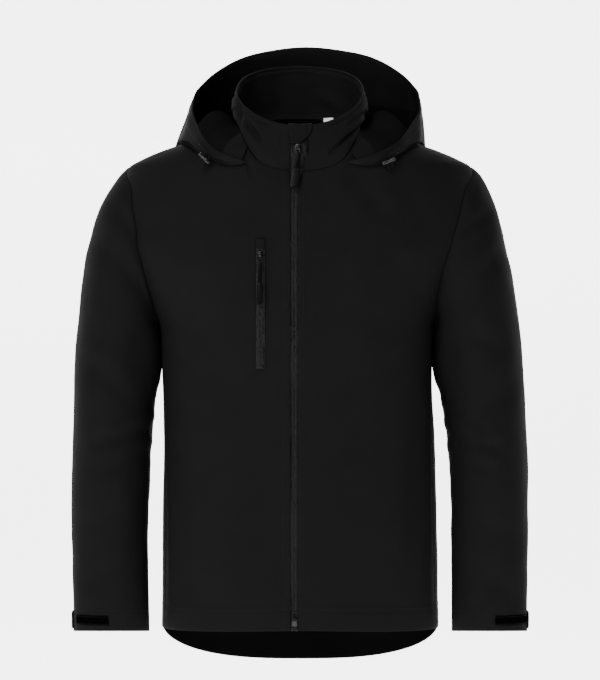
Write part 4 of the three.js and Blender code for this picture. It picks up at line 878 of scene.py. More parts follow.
@dataclass
class Cloth:
    """A grid of points made into a closed piece of cloth with soft edges.

    Attributes:
        name: The piece's name.
        grid: The outside.
        thick: Thickness by row and column, in millimetres.
        outer: The outside's finish.
        inner: The inside's finish.
        round_steps: How many rows of points round each edge has.
        faced: Whether the inside at a row and column shows the outside's cloth.
    """

    name: str
    grid: Grid
    thick: Callable[[int, int], float]
    outer: ClothFinish
    inner: ClothFinish
    round_steps: int = 2
    faced: Callable[[int, int], bool] = lambda r, c: False

    def _rims(self) -> list[list[tuple[int, int]]]:
        """The closed runs of grid places along the free edges."""
        last, end = len(self.grid.rows) - 1, len(self.grid.rows[0]) - 1
        if self.grid.wraps:
            return [
                [(0, c) for c in range(end + 1)],
                [(last, c) for c in range(end, -1, -1)],
            ]
        rim = [(0, c) for c in range(end + 1)]
        rim += [(r, end) for r in range(1, last + 1)]
        rim += [(last, c) for c in range(end - 1, -1, -1)]
        rim += [(r, 0) for r in range(last - 1, 0, -1)]
        return [rim]

    def _outward(self, r: int, c: int) -> Vector:
        """The direction off the cloth's edge at a rim place."""
        rows = self.grid.rows
        last, end = len(rows) - 1, len(rows[0]) - 1
        here, away = rows[r][c], Vector((0, 0, 0))
        if r == 0:
            away += (here - rows[1][c]).normalized()
        if r == last:
            away += (here - rows[last - 1][c]).normalized()
        if not self.grid.wraps and c == 0:
            away += (here - rows[r][1]).normalized()
        if not self.grid.wraps and c == end:
            away += (here - rows[r][end - 1]).normalized()
        return away.normalized()

    def build(self) -> bpy.types.Object:
        """Make the piece.

        Returns:
            The finished object.
        """
        rows, normals = self.grid.rows, self.grid.normals()
        count = len(rows[0])
        outer = [p for row in rows for p in row]
        inner = [
            p - normals[r][c] * self.thick(r, c)
            for r, row in enumerate(rows) for c, p in enumerate(row)
        ]
        points, offset = outer + inner, len(outer)
        places = [(r, c) for r in range(len(rows)) for c in range(count)] * 2
        faces, slots = [], []
        for r in range(len(rows) - 1):
            for c in range(count if self.grid.wraps else count - 1):
                n = (c + 1) % count
                a, b = r * count + c, r * count + n
                d, e = (r + 1) * count + c, (r + 1) * count + n
                faces += [(a, b, e, d), (offset + d, offset + e, offset + b, offset + a)]
                slots += [0, 0 if self.faced(r, c) else 1]
        for rim in self._rims():
            bands = [[r * count + c for r, c in rim]]
            for step in range(1, self.round_steps + 1):
                angle = math.pi * step / (self.round_steps + 1)
                band = []
                for r, c in rim:
                    index = r * count + c
                    middle = (points[index] + points[offset + index]) / 2
                    half = (points[index] - points[offset + index]) / 2
                    off = self._outward(r, c) * half.length * 0.8
                    band.append(len(points))
                    places.append((r, c))
                    points.append(middle + half * math.cos(angle) + off * math.sin(angle))
                bands.append(band)
            bands.append([offset + r * count + c for r, c in rim])
            for one, two in zip(bands, bands[1:]):
                for i in range(len(rim)):
                    j = (i + 1) % len(rim)
                    faces.append((one[j], one[i], two[i], two[j]))
                    slots.append(0)
        return self._object(points, faces, slots, places)

    def _object(
        self,
        points: list[Vector],
        faces: list[tuple[int, ...]],
        slots: list[int],
        places: list[tuple[int, int]],
    ) -> bpy.types.Object:
        """Turn points and faces into a shaded piece with a map in metres."""
        mesh = bpy.data.meshes.new(self.name)
        mesh.from_pydata([p * MM for p in points], [], faces)
        mesh.materials.append(PALETTE.get(self.outer))
        mesh.materials.append(PALETTE.get(self.inner))
        mesh.polygons.foreach_set("material_index", slots)
        across, along = self._spans()
        layer = mesh.uv_layers.new(name="UVMap")
        seam = len(self.grid.rows[0]) - 1
        for polygon in mesh.polygons:
            columns = [places[mesh.loops[i].vertex_index][1] for i in polygon.loop_indices]
            crosses = self.grid.wraps and seam in columns and 0 in columns
            for i in polygon.loop_indices:
                r, c = places[mesh.loops[i].vertex_index]
                column = seam + 1 if crosses and c == 0 else c
                layer.data[i].uv = (across[column] * MM, along[r] * MM)
        bm = bmesh.new()
        bm.from_mesh(mesh)
        bmesh.ops.recalc_face_normals(bm, faces=bm.faces)
        bm.to_mesh(mesh)
        bm.free()
        mesh.shade_smooth()
        mesh.set_sharp_from_angle(angle=math.radians(48))
        return link_object(self.name, mesh)

    def _spans(self) -> tuple[list[float], list[float]]:
        """Distances across the columns and up the rows, in millimetres."""
        rows = self.grid.rows
        middle = rows[len(rows) // 2]
        across = [0.0]
        ring = middle + [middle[0]] if self.grid.wraps else middle
        for a, b in zip(ring, ring[1:]):
            across.append(across[-1] + (b - a).length)
        column = len(middle) // 2
        along = [0.0]
        for one, two in zip(rows, rows[1:]):
            along.append(along[-1] + (two[column] - one[column]).length)
        return across, along


@dataclass(frozen=True)
class Bead:
    """One repeated small shape along lines.

    Attributes:
        pitch: From one to the next, in metres.
        length: Along the line.
        width: Across the line.
        height: Out of the surface.
        jitter: How much the sizes vary.
        seed: The seed of that variation.
    """

    pitch: float
    length: float
    width: float
    height: float
    jitter: float = 0.08
    seed: int = 3


STITCH = Bead(0.0034, 0.0026, 0.0009, 0.0006)
TOOTH = Bead(0.0029, 0.0018, 0.0040, 0.0016, 0.35)


class BeadTree:
    """The Geometry Nodes tree that sets beads along lines."""

    def __init__(self) -> None:
        """Build the tree once."""
        self.tree = bpy.data.node_groups.new("beads_along_lines", "GeometryNodeTree")
        face = self.tree.interface
        face.new_socket("Geometry", in_out="OUTPUT", socket_type="NodeSocketGeometry")
        self.ids = {}
        for name, kind in (
            ("Geometry", "NodeSocketGeometry"),
            ("Pitch", "NodeSocketFloat"),
            ("Length", "NodeSocketFloat"),
            ("Width", "NodeSocketFloat"),
            ("Height", "NodeSocketFloat"),
            ("Jitter", "NodeSocketFloat"),
            ("Seed", "NodeSocketInt"),
            ("Material", "NodeSocketMaterial"),
        ):
            socket = face.new_socket(name, in_out="INPUT", socket_type=kind)
            self.ids[name] = socket.identifier
        self._wire()

    def _node(self, kind: str, settings: dict, inputs: dict) -> bpy.types.Node:
        """Add a node with its settings and inputs."""
        node = self.tree.nodes.new(kind)
        for key, value in settings.items():
            setattr(node, key, value)
        for key, value in inputs.items():
            if isinstance(value, bpy.types.NodeSocket):
                self.tree.links.new(value, node.inputs[key])
            else:
                node.inputs[key].default_value = value
        return node

    def _wire(self) -> None:
        """Lay out the tree."""
        given = self.tree.nodes.new("NodeGroupInput").outputs
        line = self._node("GeometryNodeMeshToCurve", {}, {"Mesh": given["Geometry"]})
        even = self._node(
            "GeometryNodeResampleCurve",
            {"mode": "LENGTH"},
            {"Curve": line.outputs[0], "Length": given["Pitch"]},
        )
        tangent = self._node("GeometryNodeInputTangent", {}, {})
        out = self._node(
            "GeometryNodeInputNamedAttribute", {"data_type": "FLOAT_VECTOR"}, {"Name": "out"}
        )
        along = self._node(
            "FunctionNodeAlignRotationToVector", {"axis": "X"}, {"Vector": tangent.outputs[0]}
        )
        upright = self._node(
            "FunctionNodeAlignRotationToVector",
            {"axis": "Z", "pivot_axis": "X"},
            {"Rotation": along.outputs[0], "Vector": out.outputs[0]},
        )
        size = self._node(
            "ShaderNodeCombineXYZ",
            {},
            {"X": given["Length"], "Y": given["Width"], "Z": given["Height"]},
        )
        low = self._node("ShaderNodeMath", {"operation": "SUBTRACT"}, {0: 1.0, 1: given["Jitter"]})
        vary = self._node(
            "FunctionNodeRandomValue",
            {"data_type": "FLOAT"},
            {"Min": low.outputs[0], "Max": 1.0, "Seed": given["Seed"]},
        )
        scale = self._node(
            "ShaderNodeVectorMath",
            {"operation": "SCALE"},
            {0: size.outputs[0], "Scale": vary.outputs[1]},
        )
        bead = self._node("GeometryNodeMeshIcoSphere", {}, {"Radius": 0.5, "Subdivisions": 1})
        smooth = self._node("GeometryNodeSetShadeSmooth", {}, {"Geometry": bead.outputs[0]})
        placed = self._node(
            "GeometryNodeInstanceOnPoints",
            {},
            {
                "Points": even.outputs[0],
                "Instance": smooth.outputs[0],
                "Rotation": upright.outputs[0],
                "Scale": scale.outputs[0],
            },
        )
        real = self._node("GeometryNodeRealizeInstances", {}, {"Geometry": placed.outputs[0]})
        final = self._node(
            "GeometryNodeSetMaterial",
            {},
            {"Geometry": real.outputs[0], "Material": given["Material"]},
        )
        self.tree.links.new(final.outputs[0], self.tree.nodes.new("NodeGroupOutput").inputs[0])

    def apply(
        self, name: str, lines: Sequence[Line], bead: Bead, finish: HardFinish
    ) -> bpy.types.Object:
        """Set beads along lines.

        Args:
            name: The piece's name.
            lines: The lines, in millimetres.
            bead: The bead's sizes.
            finish: The bead's finish.

        Returns:
            One plain mesh object with all of the beads.
        """
        points, edges, outs = [], [], []
        for line in lines:
            first = len(points)
            points += [p * MM for p in line.points]
            outs += line.outs
            edges += [(first + i, first + i + 1) for i in range(len(line.points) - 1)]
        mesh = bpy.data.meshes.new(f"{name}_lines")
        mesh.from_pydata(points, edges, [])
        attribute = mesh.attributes.new("out", "FLOAT_VECTOR", "POINT")
        attribute.data.foreach_set("vector", [x for out in outs for x in out])
        carrier = link_object(f"{name}_lines", mesh)
        modifier = carrier.modifiers.new("beads", "NODES")
        modifier.node_group = self.tree
        modifier[self.ids["Pitch"]] = bead.pitch
        modifier[self.ids["Length"]] = bead.length
        modifier[self.ids["Width"]] = bead.width
        modifier[self.ids["Height"]] = bead.height
        modifier[self.ids["Jitter"]] = bead.jitter
        modifier[self.ids["Seed"]] = bead.seed
        modifier[self.ids["Material"]] = PALETTE.get(finish)
        graph = bpy.context.evaluated_depsgraph_get()
        made = bpy.data.meshes.new_from_object(carrier.evaluated_get(graph), depsgraph=graph)
        made.name = name
        bpy.data.objects.remove(carrier)
        return link_object(name, made)


def settle(piece: bpy.types.Object, slot: str, *nodes: str, body: str = BODY) -> bpy.types.Object:
    """Ride and replace in one step.

    Args:
        piece: The finished piece.
        slot: The record's material slot; not used.
        nodes: The CAD nodes that it stands for.
        body: The body that it rides on.

    Returns:
        The piece.
    """
    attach(piece, body)
    if nodes:
        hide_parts(*nodes)
    LOG.info("%s: %d faces", piece.name, len(piece.data.polygons))
    return piece


def patch(
    bottom: Callable[[float], float],
    top: Callable[[float], float],
    start: float,
    end: float,
    u: float,
    w: float,
) -> float:
    """A Coons patch of plain numbers from its four edges."""
    corners = (
        (1 - u) * (1 - w) * bottom(0) + u * (1 - w) * bottom(1)
        + (1 - u) * w * top(0) + u * w * top(1)
    )
    return (1 - w) * bottom(u) + w * top(u) + (1 - u) * start + u * end - corners


def hem_lift(turn: float) -> float:
    """How far the hem lies above the side hem; the back drops into a tail."""
    across = abs(math.sin(math.radians(turn)))
    if math.cos(math.radians(turn)) > 0:
        return FRONT_HEM_RISE * (1 - across)
    return -TAIL_DROP * math.sqrt(1 - across**TAIL_SHAPE)


def neck_lift(turn: float) -> float:
    """How far the back neck seam rises above the shoulders."""
    return BACK_NECK_RISE * max(-math.cos(math.radians(turn)), 0) ** 1.3


def skirt_point(turn: float, level: float) -> Vector:
    """A point between the hem, level 0, and the underarm, level 1."""
    z = HEM_Z + (UNDERARM_Z - HEM_Z) * level + hem_lift(turn) * (1 - level) ** 2
    return SHELL.point(turn, z)


HEM_LEVELS = [0, 3, 6, 10, 15, 20, 24, 27, 29, 31, 33, 35, 38, 42]
SKIRT_LEVELS = [d / 422 for d in HEM_LEVELS] + [d / 422 for d in range(49, 422, 7)]
UPPER_LEVELS = [i / 48 for i in range(49)]
CLOSING_SHARES = [0, 0.006, 0.014, 0.022, 0.03, 0.038, 0.046, 0.056, 0.07]
SIDE_SHARES = [0.93, 0.945, 0.957, 0.967, 0.977, 0.986, 0.994, 1]
FRONT_SHARES = CLOSING_SHARES + [0.07 + 0.86 * i / 44 for i in range(1, 44)] + SIDE_SHARES
BACK_END = [0, 0.003, 0.007, 0.012, 0.017, 0.023, 0.03]
BACK_SHARES = BACK_END + [0.03 + 0.94 * i / 92 for i in range(1, 92)] + [1 - s for s in BACK_END[::-1]]


@dataclass
class Trunk:
    """The two fronts and the back, with their hems and seams.

    Attributes:
        hem_stitches: Heights of the twin rows above the hem.
        band_rise: How much the doubled hem stands out.
        placket: Distances of the rows beside the closing edges.
        arm_row: Distance of the row along each armhole.
    """

    hem_stitches: tuple[float, float] = (28.5, 35.0)
    band_rise: float = 0.6
    placket: dict[str, float] = field(default_factory=lambda: {"right": 8.8, "left": 6.3})
    arm_row: float = 6.5
    grids: dict[str, Grid] = field(default_factory=dict)

    def front_rows(self, side: str) -> list[list[Vector]]:
        """Points of one front, from the hem up and from the closing edge to the side."""
        sign = SIDES[side]
        neck = SHELL.neck_edge[side]
        rows = []
        for level in SKIRT_LEVELS:
            z = HEM_Z + (UNDERARM_Z - HEM_Z) * level
            first = SHELL.turn_at(SHELL.closing.read(side, z), z)
            last = sign * SHELL.side_seam.read("turn", z)
            rows.append([skirt_point(first + (last - first) * u, level) for u in FRONT_SHARES])
        first = SHELL.turn_at(SHELL.closing.read(side, UNDERARM_Z), UNDERARM_Z)

        def bottom(u: float) -> float:
            """X of the underarm row."""
            return SHELL.point(first + (sign * 90 - first) * u, UNDERARM_Z).x

        def top(u: float) -> Vector:
            """The neck seam, then the shoulder seam."""
            if u <= NECK_SHARE:
                return neck.at(u / NECK_SHARE)
            z = SHOULDER_NECK_Z + (SHOULDER_TIP_Z - SHOULDER_NECK_Z) * (u - NECK_SHARE) / (1 - NECK_SHARE)
            return Vector((sign * SHELL.width(side, z), 0, z))

        for level in UPPER_LEVELS:
            w = 1 - (1 - level) ** TOP_CROWDING
            edge_z = UNDERARM_Z + (neck.at(0).z - UNDERARM_Z) * w
            turn, arm_z = SHELL.arm_mark(level)
            arm = SHELL.point(sign * turn, arm_z)
            edge_x = SHELL.closing.read(side, edge_z)
            row = []
            for u in FRONT_SHARES:
                x = patch(bottom, lambda s: top(s).x, edge_x, arm.x, u, w)
                z = patch(lambda s: UNDERARM_Z, lambda s: top(s).z, edge_z, arm.z, u, w)
                if u == 1:
                    row.append(arm)
                else:
                    row.append(top(u) if level == 1 else SHELL.point(SHELL.turn_at(x, z), z))
            rows.append(row)
        return rows

    def back_rows(self) -> list[list[Vector]]:
        """Points of the back, from the hem up and from the left side to the right."""
        rows = []
        for level in SKIRT_LEVELS:
            side = SHELL.side_seam.read("turn", HEM_Z + (UNDERARM_Z - HEM_Z) * level)
            rows.append([skirt_point(side + (360 - 2 * side) * u, level) for u in BACK_SHARES])

        def neck_turn(u: float) -> float:
            """Turn of the neck seam above a share of the width."""
            return 90 + 180 * min(max(2 * u - 0.5, 0), 1)

        def top(u: float) -> Vector:
            """The left shoulder, the neck and the right shoulder."""
            if 0.25 <= u <= 0.75:
                return SHELL.point(neck_turn(u), SHOULDER_NECK_Z)
            side = "left" if u < 0.5 else "right"
            share = 1 - u / 0.25 if u < 0.5 else (u - 0.75) / 0.25
            z = SHOULDER_NECK_Z + (SHOULDER_TIP_Z - SHOULDER_NECK_Z) * share
            return Vector((SIDES[side] * SHELL.width(side, z), 0, z))

        for level in UPPER_LEVELS:
            w = 1 - (1 - level) ** TOP_CROWDING
            turn, arm_z = SHELL.arm_mark(level)
            start, end = SHELL.point(180 - turn, arm_z), SHELL.point(180 + turn, arm_z)
            row = []
            for u in BACK_SHARES:
                if u in (0, 1):
                    row.append(start if u == 0 else end)
                    continue
                x = patch(
                    lambda s: SHELL.point(90 + 180 * s, UNDERARM_Z).x, lambda s: top(s).x,
                    start.x, end.x, u, w,
                )
                z = patch(lambda s: UNDERARM_Z, lambda s: top(s).z, start.z, end.z, u, w)
                point = top(u).copy() if level == 1 else SHELL.point(180 - SHELL.turn_at(x, z), z)
                row.append(point + UP * neck_lift(neck_turn(u)) * w**6)
            rows.append(row)
        return rows

    def relief(self, piece: str, grid: Grid) -> Callable[[int, int, Vector], float]:
        """How far each point of a panel is moved out by hem, seams and folds."""
        rows = grid.rows
        end = len(rows[0]) - 1
        placket = self.placket["right" if rows[0][0].x < 0 else "left"]

        def amount(r: int, c: int, p: Vector) -> float:
            """Millimetres out at one point."""
            above = (p - rows[0][c]).length if r < 30 else 99.0
            rise = self.band_rise * (1 - smoothstep(33.5, 37, above))
            rise -= sum(0.55 * bell(above - s, 1.7) for s in self.hem_stitches)
            sideways = min((p - rows[r][0]).length, (p - rows[r][end]).length)
            seam = -0.55 * bell(sideways, 2.2)
            if piece == "front":
                edge = (p - rows[r][0]).length
                far = (p - rows[r][end]).length
                rise += 0.5 * (1 - smoothstep(placket, placket + 3, edge)) - 0.4 * bell(edge - placket, 1.6)
                seam = -0.55 * bell(far, 2.2)
                sideways = far
            top = (rows[-1][c] - p).length if r > len(rows) - 12 else 99.0
            seam -= 0.9 * bell(top, 2.2)
            if r >= len(SKIRT_LEVELS):
                rise -= 0.45 * bell(sideways - self.arm_row, 2.2)
            calm = smoothstep(0, 22, min(sideways, top)) * smoothstep(8, 50, above + 8)
            fold = fold_depth(piece, p) + ripple(p, 90, 2.4) + ripple(p, 34, 0.7)
            return rise + seam - calm * fold

        return amount

    def build(self) -> None:
        """Make the panels."""
        for side, sign in SIDES.items():
            flat = Grid(self.front_rows(side), sign=sign)
            self.grids[side] = flat.moved(self.relief("front", flat))
        flat = Grid(self.back_rows())
        self.grids["back"] = flat.moved(self.relief("back", flat))
        for key, flat_size, area in (
            ("right", (0.300, 0.740), 0.185), ("left", (0.300, 0.740), 0.19), ("back", (0.62, 0.82), 0.43),
        ):
            name = "back" if key == "back" else f"front_{key}"
            piece = Cloth(f"{name}_cloth", self.grids[key], lambda r, c: CLOTH, SOFTSHELL, LINING).build()
            settle(piece, "softshell", name)

    def stitches(self) -> list[Line]:
        """The rows of stitches on the fronts and the back."""
        lines = []
        for key, grid in self.grids.items():
            lines += [grid.inset(Edge.BOTTOM, s, 0.1) for s in self.hem_stitches]
            skirt = len(SKIRT_LEVELS)
            upper = Grid(grid.rows[skirt:], sign=grid.sign)
            lines.append(upper.inset(Edge.END, self.arm_row, 0.1))
            if key == "back":
                lines.append(upper.inset(Edge.START, self.arm_row, 0.1))
            else:
                lines.append(grid.inset(Edge.START, self.placket[key], 0.1))
        return lines


@dataclass
class Sleeve:
    """One sleeve with its cuff; CuffTrim sets the loop patch and tab on it."""

    side: str
    cuff_row: float = 29.0
    rings: int = 104
    around: int = 72
    grid: Grid | None = None
    marks: list[Vector] = field(default_factory=list)

    def rows(self) -> list[list[Vector]]:
        """Rings from the armhole to the cuff, each from the outer edge over the front."""
        sign = SIDES[self.side]
        table = Table(SLEEVES[self.side])
        half = self.around // 2
        marks = []
        for k in range(self.around):
            turn, z = SHELL.arm_mark(1 - k / half if k <= half else (k - half) / half)
            around = sign * (turn if k <= half else 180 - turn)
            marks.append((SHELL.point(around, z), SHELL.normal(around, z)))
        self.marks = [out for _, out in marks]

        def ellipse(share: float, k: int) -> Vector:
            """A point of the plain sleeve."""
            angle = 2 * math.pi * k / self.around
            y = table.read("y", share)
            outer = Vector((sign * table.read("outerX", share), y, table.read("outerZ", share)))
            inner = Vector((sign * table.read("innerX", share), y, table.read("innerZ", share)))
            point = inner.lerp(outer, (1 + math.cos(angle)) / 2)
            point.y -= table.read("deep", share) * math.sin(angle)
            point.z += CUFF_RISE * max(math.sin(angle), 0) * share**8
            return point

        plain = [ellipse(0, k) for k in range(self.around)]
        rings = []
        for ring in range(self.rings + 1):
            share = ring / self.rings
            fade = max(1 - share / CAP_SHARE, 0) ** 2
            row = []
            for k, (point, out) in enumerate(marks):
                seam = point + out * SEAM_GAP + Vector((sign * SEAM_GAP, 0, 0))
                row.append(ellipse(share, k) + (seam - plain[k]) * fade)
            rings.append(row)
        return rings[::-1]

    def build(self) -> None:
        """Make the sleeve."""
        flat = Grid(self.rows(), wraps=True, sign=-SIDES[self.side])
        rows, name = flat.rows, f"sleeve_{self.side}"
        last = len(rows) - 1

        def amount(r: int, c: int, p: Vector) -> float:
            """Millimetres out at one point."""
            above = (p - rows[0][c]).length if r < 20 else 99.0
            below = (rows[last][c] - p).length if r > last - 12 else 99.0
            rise = 0.6 * (1 - smoothstep(29, 33, above)) - 0.5 * bell(above - self.cuff_row, 2)
            reach = 16 - 13 * bell(c - self.around / 2, 5)
            calm = smoothstep(0, reach, below) * smoothstep(16, 60, above + 10)
            fold = fold_depth(name, p) + ripple(p, 70, 2.2) + ripple(p, 26, 0.7)
            return rise - 0.5 * bell(below, 2.4) - calm * fold

        self.grid = flat.moved(amount)
        whole = Grid(self.grid.rows + self._allowance(), True, self.grid.sign)
        piece = Cloth(f"{name}_cloth", whole, lambda r, c: CLOTH, SOFTSHELL, LINING).build()
        settle(piece, "softshell", name)

    def _allowance(self) -> list[list[Vector]]:
        """Rings of seam allowance that turn in under the body's panels."""
        edge, normals = self.grid.rows[-1], self.grid.normals()[-1]
        count = len(edge)
        rings = []
        for sunk, onward in ((2.2, 0.6), (3.4, 1.4), (3.8, 4.5), (4.0, 8.0)):
            ring = []
            for k, point in enumerate(edge):
                turn = self.marks[k]
                tangent = (edge[(k + 1) % count] - edge[k - 1]).normalized()
                inboard = tangent.cross(turn).normalized()
                if inboard.x * SIDES[self.side] > 0:
                    inboard.negate()
                out = normals[k].lerp(turn, 0.7).normalized()
                ring.append(point - out * sunk + inboard * onward)
            rings.append(ring)
        return rings

    def stitches(self) -> list[Line]:
        """The row of stitches round the cuff."""
        return [self.grid.inset(Edge.BOTTOM, self.cuff_row, 0.1)]


@dataclass
class Collar:
    """The stand collar with its bound rim."""

    columns: int = 150
    levels: int = 26
    rim_row: float = 7.0
    placket: float = 8.8
    grid: Grid | None = None

    @staticmethod
    def seam() -> Polyline:
        """The neck seam, from the right closing edge round the back to the left."""
        right = [SHELL.neck_edge["right"].at(i / 40) for i in range(41)]
        back = []
        for i in range(1, 60):
            turn = 270 - 180 * i / 60
            back.append(SHELL.point(turn, SHOULDER_NECK_Z) + UP * neck_lift(turn))
        left = [SHELL.neck_edge["left"].at(i / 40) for i in range(40, -1, -1)]
        return Polyline(right + back + left)

    @staticmethod
    def rim_point(foot: Vector) -> Vector:
        """The point of the rim above a point of the seam."""
        half = SHELL.width("left", SHOULDER_NECK_Z)
        around = min(abs(foot.x) / half, 1)
        x = foot.x + math.copysign((RIM["half"] - half) * around**2, foot.x)
        across = min(abs(x) / RIM["half"], 1)
        along = -math.copysign(math.sqrt(1 - across**2), foot.y)
        deep = RIM["front"] if foot.y < 0 else RIM["back"]
        z = RIM["middle"] - RIM["tilt"] * along + RIM["lift"] * across**2
        return Vector((x, -deep * along, z))

    @classmethod
    def point(cls, foot: Vector, share: float, folds: bool = True) -> Vector:
        """A point of the outside, from the seam, share 0, to the rim, share 1."""
        point = (foot + UP * COLLAR_LIFT).lerp(cls.rim_point(foot), share)
        out = Vector((foot.x, foot.y, 0)).normalized()
        sideways = abs(out.x) * (1 if out.y < 0 else 0.4)
        middle = 4 * share * (1 - share)
        depth = fold_depth("collar", point) * middle if folds else 0.0
        return point + out * (COLLAR_BULGE * (0.25 + sideways) * middle - depth)

    def build(self) -> None:
        """Make the collar."""
        seam = self.seam()
        feet = [seam.at(i / self.columns) for i in range(self.columns + 1)]
        shares = [1 - (1 - i / self.levels) ** 1.25 for i in range(self.levels + 1)]
        rows = [[self.point(foot, share) for foot in feet] for share in shares]
        for row in rows:
            row[0].x = SHELL.closing.read("right", row[0].z)
            row[-1].x = SHELL.closing.read("left", row[-1].z)
        flat = Grid(rows, sign=-1)
        last = len(rows) - 1

        def amount(r: int, c: int, p: Vector) -> float:
            """Millimetres out at one point."""
            below = (rows[last][c] - p).length
            above = (p - rows[0][c]).length
            ends = min((p - rows[r][0]).length, (p - rows[r][-1]).length)
            rise = 0.9 * (1 - smoothstep(self.rim_row - 1.0, self.rim_row + 1.0, below))
            groove = 1.1 * bell(below - self.rim_row - 0.8, 1.3) + 1.1 * bell(above, 2.2)
            groove += 0.8 * bell((p - rows[r][0]).length - self.placket, 1.2)
            return rise - groove - ripple(p, 40, 0.9) * smoothstep(0, 14, min(below, above, ends))

        self.grid = flat.moved(amount)
        piece = Cloth("collar_cloth", self.grid, lambda r, c: COLLAR_CLOTH, SOFTSHELL, SOFTSHELL, 4).build()
        settle(piece, "softshell", "collar")

    def stitches(self) -> list[Line]:
        """The row under the rim and the row above the seam."""
        places = ((Edge.TOP, self.rim_row + 2.6), (Edge.BOTTOM, 4), (Edge.START, self.placket))
        return [self.grid.inset(edge, distance, 0.1) for edge, distance in places]


@dataclass
class Hood:
    """The hood, worn down, an open bowl behind and beside the collar."""

    stations: int = 88
    floor: int = 16
    wall: int = 26
    band: float = 20.0
    tips: int = 12
    facing: int = 8
    grid: Grid | None = None

    def __post_init__(self) -> None:
        """Join the two halves of the table into one run round the back."""
        names = ("at", "rimX", "rimY", "rimZ", "turn", "z", "out", "lean")
        rows = [names]
        for neck, right, _, y, rim_z, turn, z, out, lean in HOOD_HALF[1:]:
            rows.append((neck, -right, y, rim_z, -turn, z, out, lean))
        for neck, _, left, y, rim_z, turn, z, out, lean in reversed(HOOD_HALF[1:-1]):
            rows.append((2 - neck, left, y, rim_z, turn - 360, z, out, lean))
        self.table = Table(rows)
        edge = {side: SHELL.neck_edge[side] for side in SIDES}
        self.roots = []
        for side in ("right", "left"):
            front = [edge[side].at(HOOD_TIP_SHARE + (1 - HOOD_TIP_SHARE) * i / 40) for i in range(41)]
            back = []
            for i in range(1, 31):
                turn = 270 - 90 * i / 30 if side == "right" else 90 + 90 * i / 30
                back.append(SHELL.point(turn, SHOULDER_NECK_Z) + UP * neck_lift(turn))
            self.roots.append(Polyline(front + back))

    def section(self, at: float) -> list[Vector]:
        """Points of one section from the neck seam to the rim.

        Args:
            at: The place from the right tip, 0, round the back, 1, to the left tip, 2.

        Returns:
            The points.
        """
        read = {name: self.table.read(name, at) for name in self.table.columns}
        root = self.roots[0].at(at) if at <= 1 else self.roots[1].at(2 - at)
        if root.y < 0:
            size = abs(SHELL.turn_at(root.x, root.z))
        else:
            size = math.degrees(math.atan2(abs(root.x) / NECK_HALF, -root.y / NECK_BACK))
        root_turn = -size if at <= 1 else size - 360
        root_z = min(root.z, SHOULDER_NECK_Z)
        away = Vector((root.x, root.y, 0)).normalized()
        points = [root + away * HOOD_ROOT_OUT + UP * HOOD_ROOT_UP]
        for i in range(1, self.floor + 1):
            share = i / self.floor
            turn = root_turn + (read["turn"] - root_turn) * share
            z = root_z + (read["z"] - root_z) * share
            start = HOOD_FLOOR_OUT * min(share / 0.3, 1)
            out = HOOD_OVER + start + (read["out"] - HOOD_OVER - HOOD_FLOOR_OUT) * share**3
            point = SHELL.point(turn, z) + SHELL.normal(turn, z) * out
            stand = bell(min(at, 2 - at) - HOOD_STAND["at"], HOOD_STAND["wide"])
            stand *= math.sin(math.pi * share ** HOOD_STAND["power"]) ** 2
            point += away * HOOD_STAND["out"] * stand
            points.append(point + UP * ((root.z - root_z) * (1 - share) ** 2 + HOOD_STAND["high"] * stand))
        keel = points[-1]
        rim = Vector((read["rimX"], read["rimY"], read["rimZ"]))
        side = Vector((keel.x, keel.y, 0)).normalized()
        control = keel.lerp(rim, 0.5) + side * 2 * read["lean"]
        gather = sum(deep * bell(at - place, wide) for place, wide, deep in GATHERS)
        for i in range(1, self.wall + 1):
            share = i / self.wall
            point = keel.lerp(control, share).lerp(control.lerp(rim, share), share)
            points.append(point - side * gather * math.sin(math.pi * share**0.7))
        return points

    def build(self) -> None:
        """Make the hood."""
        rows = [self.section(2 * i / (2 * self.stations)) for i in range(2 * self.stations + 1)]
        flat = Grid(rows)
        end = len(rows[0]) - 1

        def amount(r: int, c: int, p: Vector) -> float:
            """Millimetres out at one point."""
            below = (rows[r][end] - p).length
            wide = min(self.band, 0.55 * (rows[r][end] - rows[r][self.floor]).length)
            rise = 0.9 * (1 - smoothstep(wide - 1, wide + 3, below)) - 0.6 * bell(below - wide, 2)
            share = max((c - self.floor) / self.wall, 0)
            swell = ripple(p, 46, 3.2) * math.sin(math.pi * min(share, 1)) * smoothstep(0, 12, below)
            return rise + swell

        self.grid = flat.moved(amount)

        def thick(r: int, c: int) -> float:
            """The rim is doubled."""
            return HOOD_RIM_CLOTH if c >= end - 3 else CLOTH

        def faced(r: int, c: int) -> bool:
            """The rim and the two tips are faced."""
            return min(r, len(rows) - 2 - r) < self.tips or c >= end - self.facing

        piece = Cloth("hood_cloth", self.grid, thick, SOFTSHELL, HOOD_LINING, 3, faced).build()
        settle(piece, "softshell", "hood")

    def stitches(self) -> list[Line]:
        """The row that closes the rim's channel."""
        rows = self.grid.rows[6:-6]
        points, outs = [], []
        normals = Grid(rows).normals()
        for r, row in enumerate(rows):
            left = min(self.band, 0.55 * (row[-1] - row[self.floor]).length)
            for c in range(len(row) - 1, 0, -1):
                span = (row[c] - row[c - 1]).length
                if span >= left:
                    share = left / span
                    points.append(row[c].lerp(row[c - 1], share) + normals[r][c] * 0.15)
                    outs.append(normals[r][c])
                    break
                left -= span
        return [Line(points, outs)]


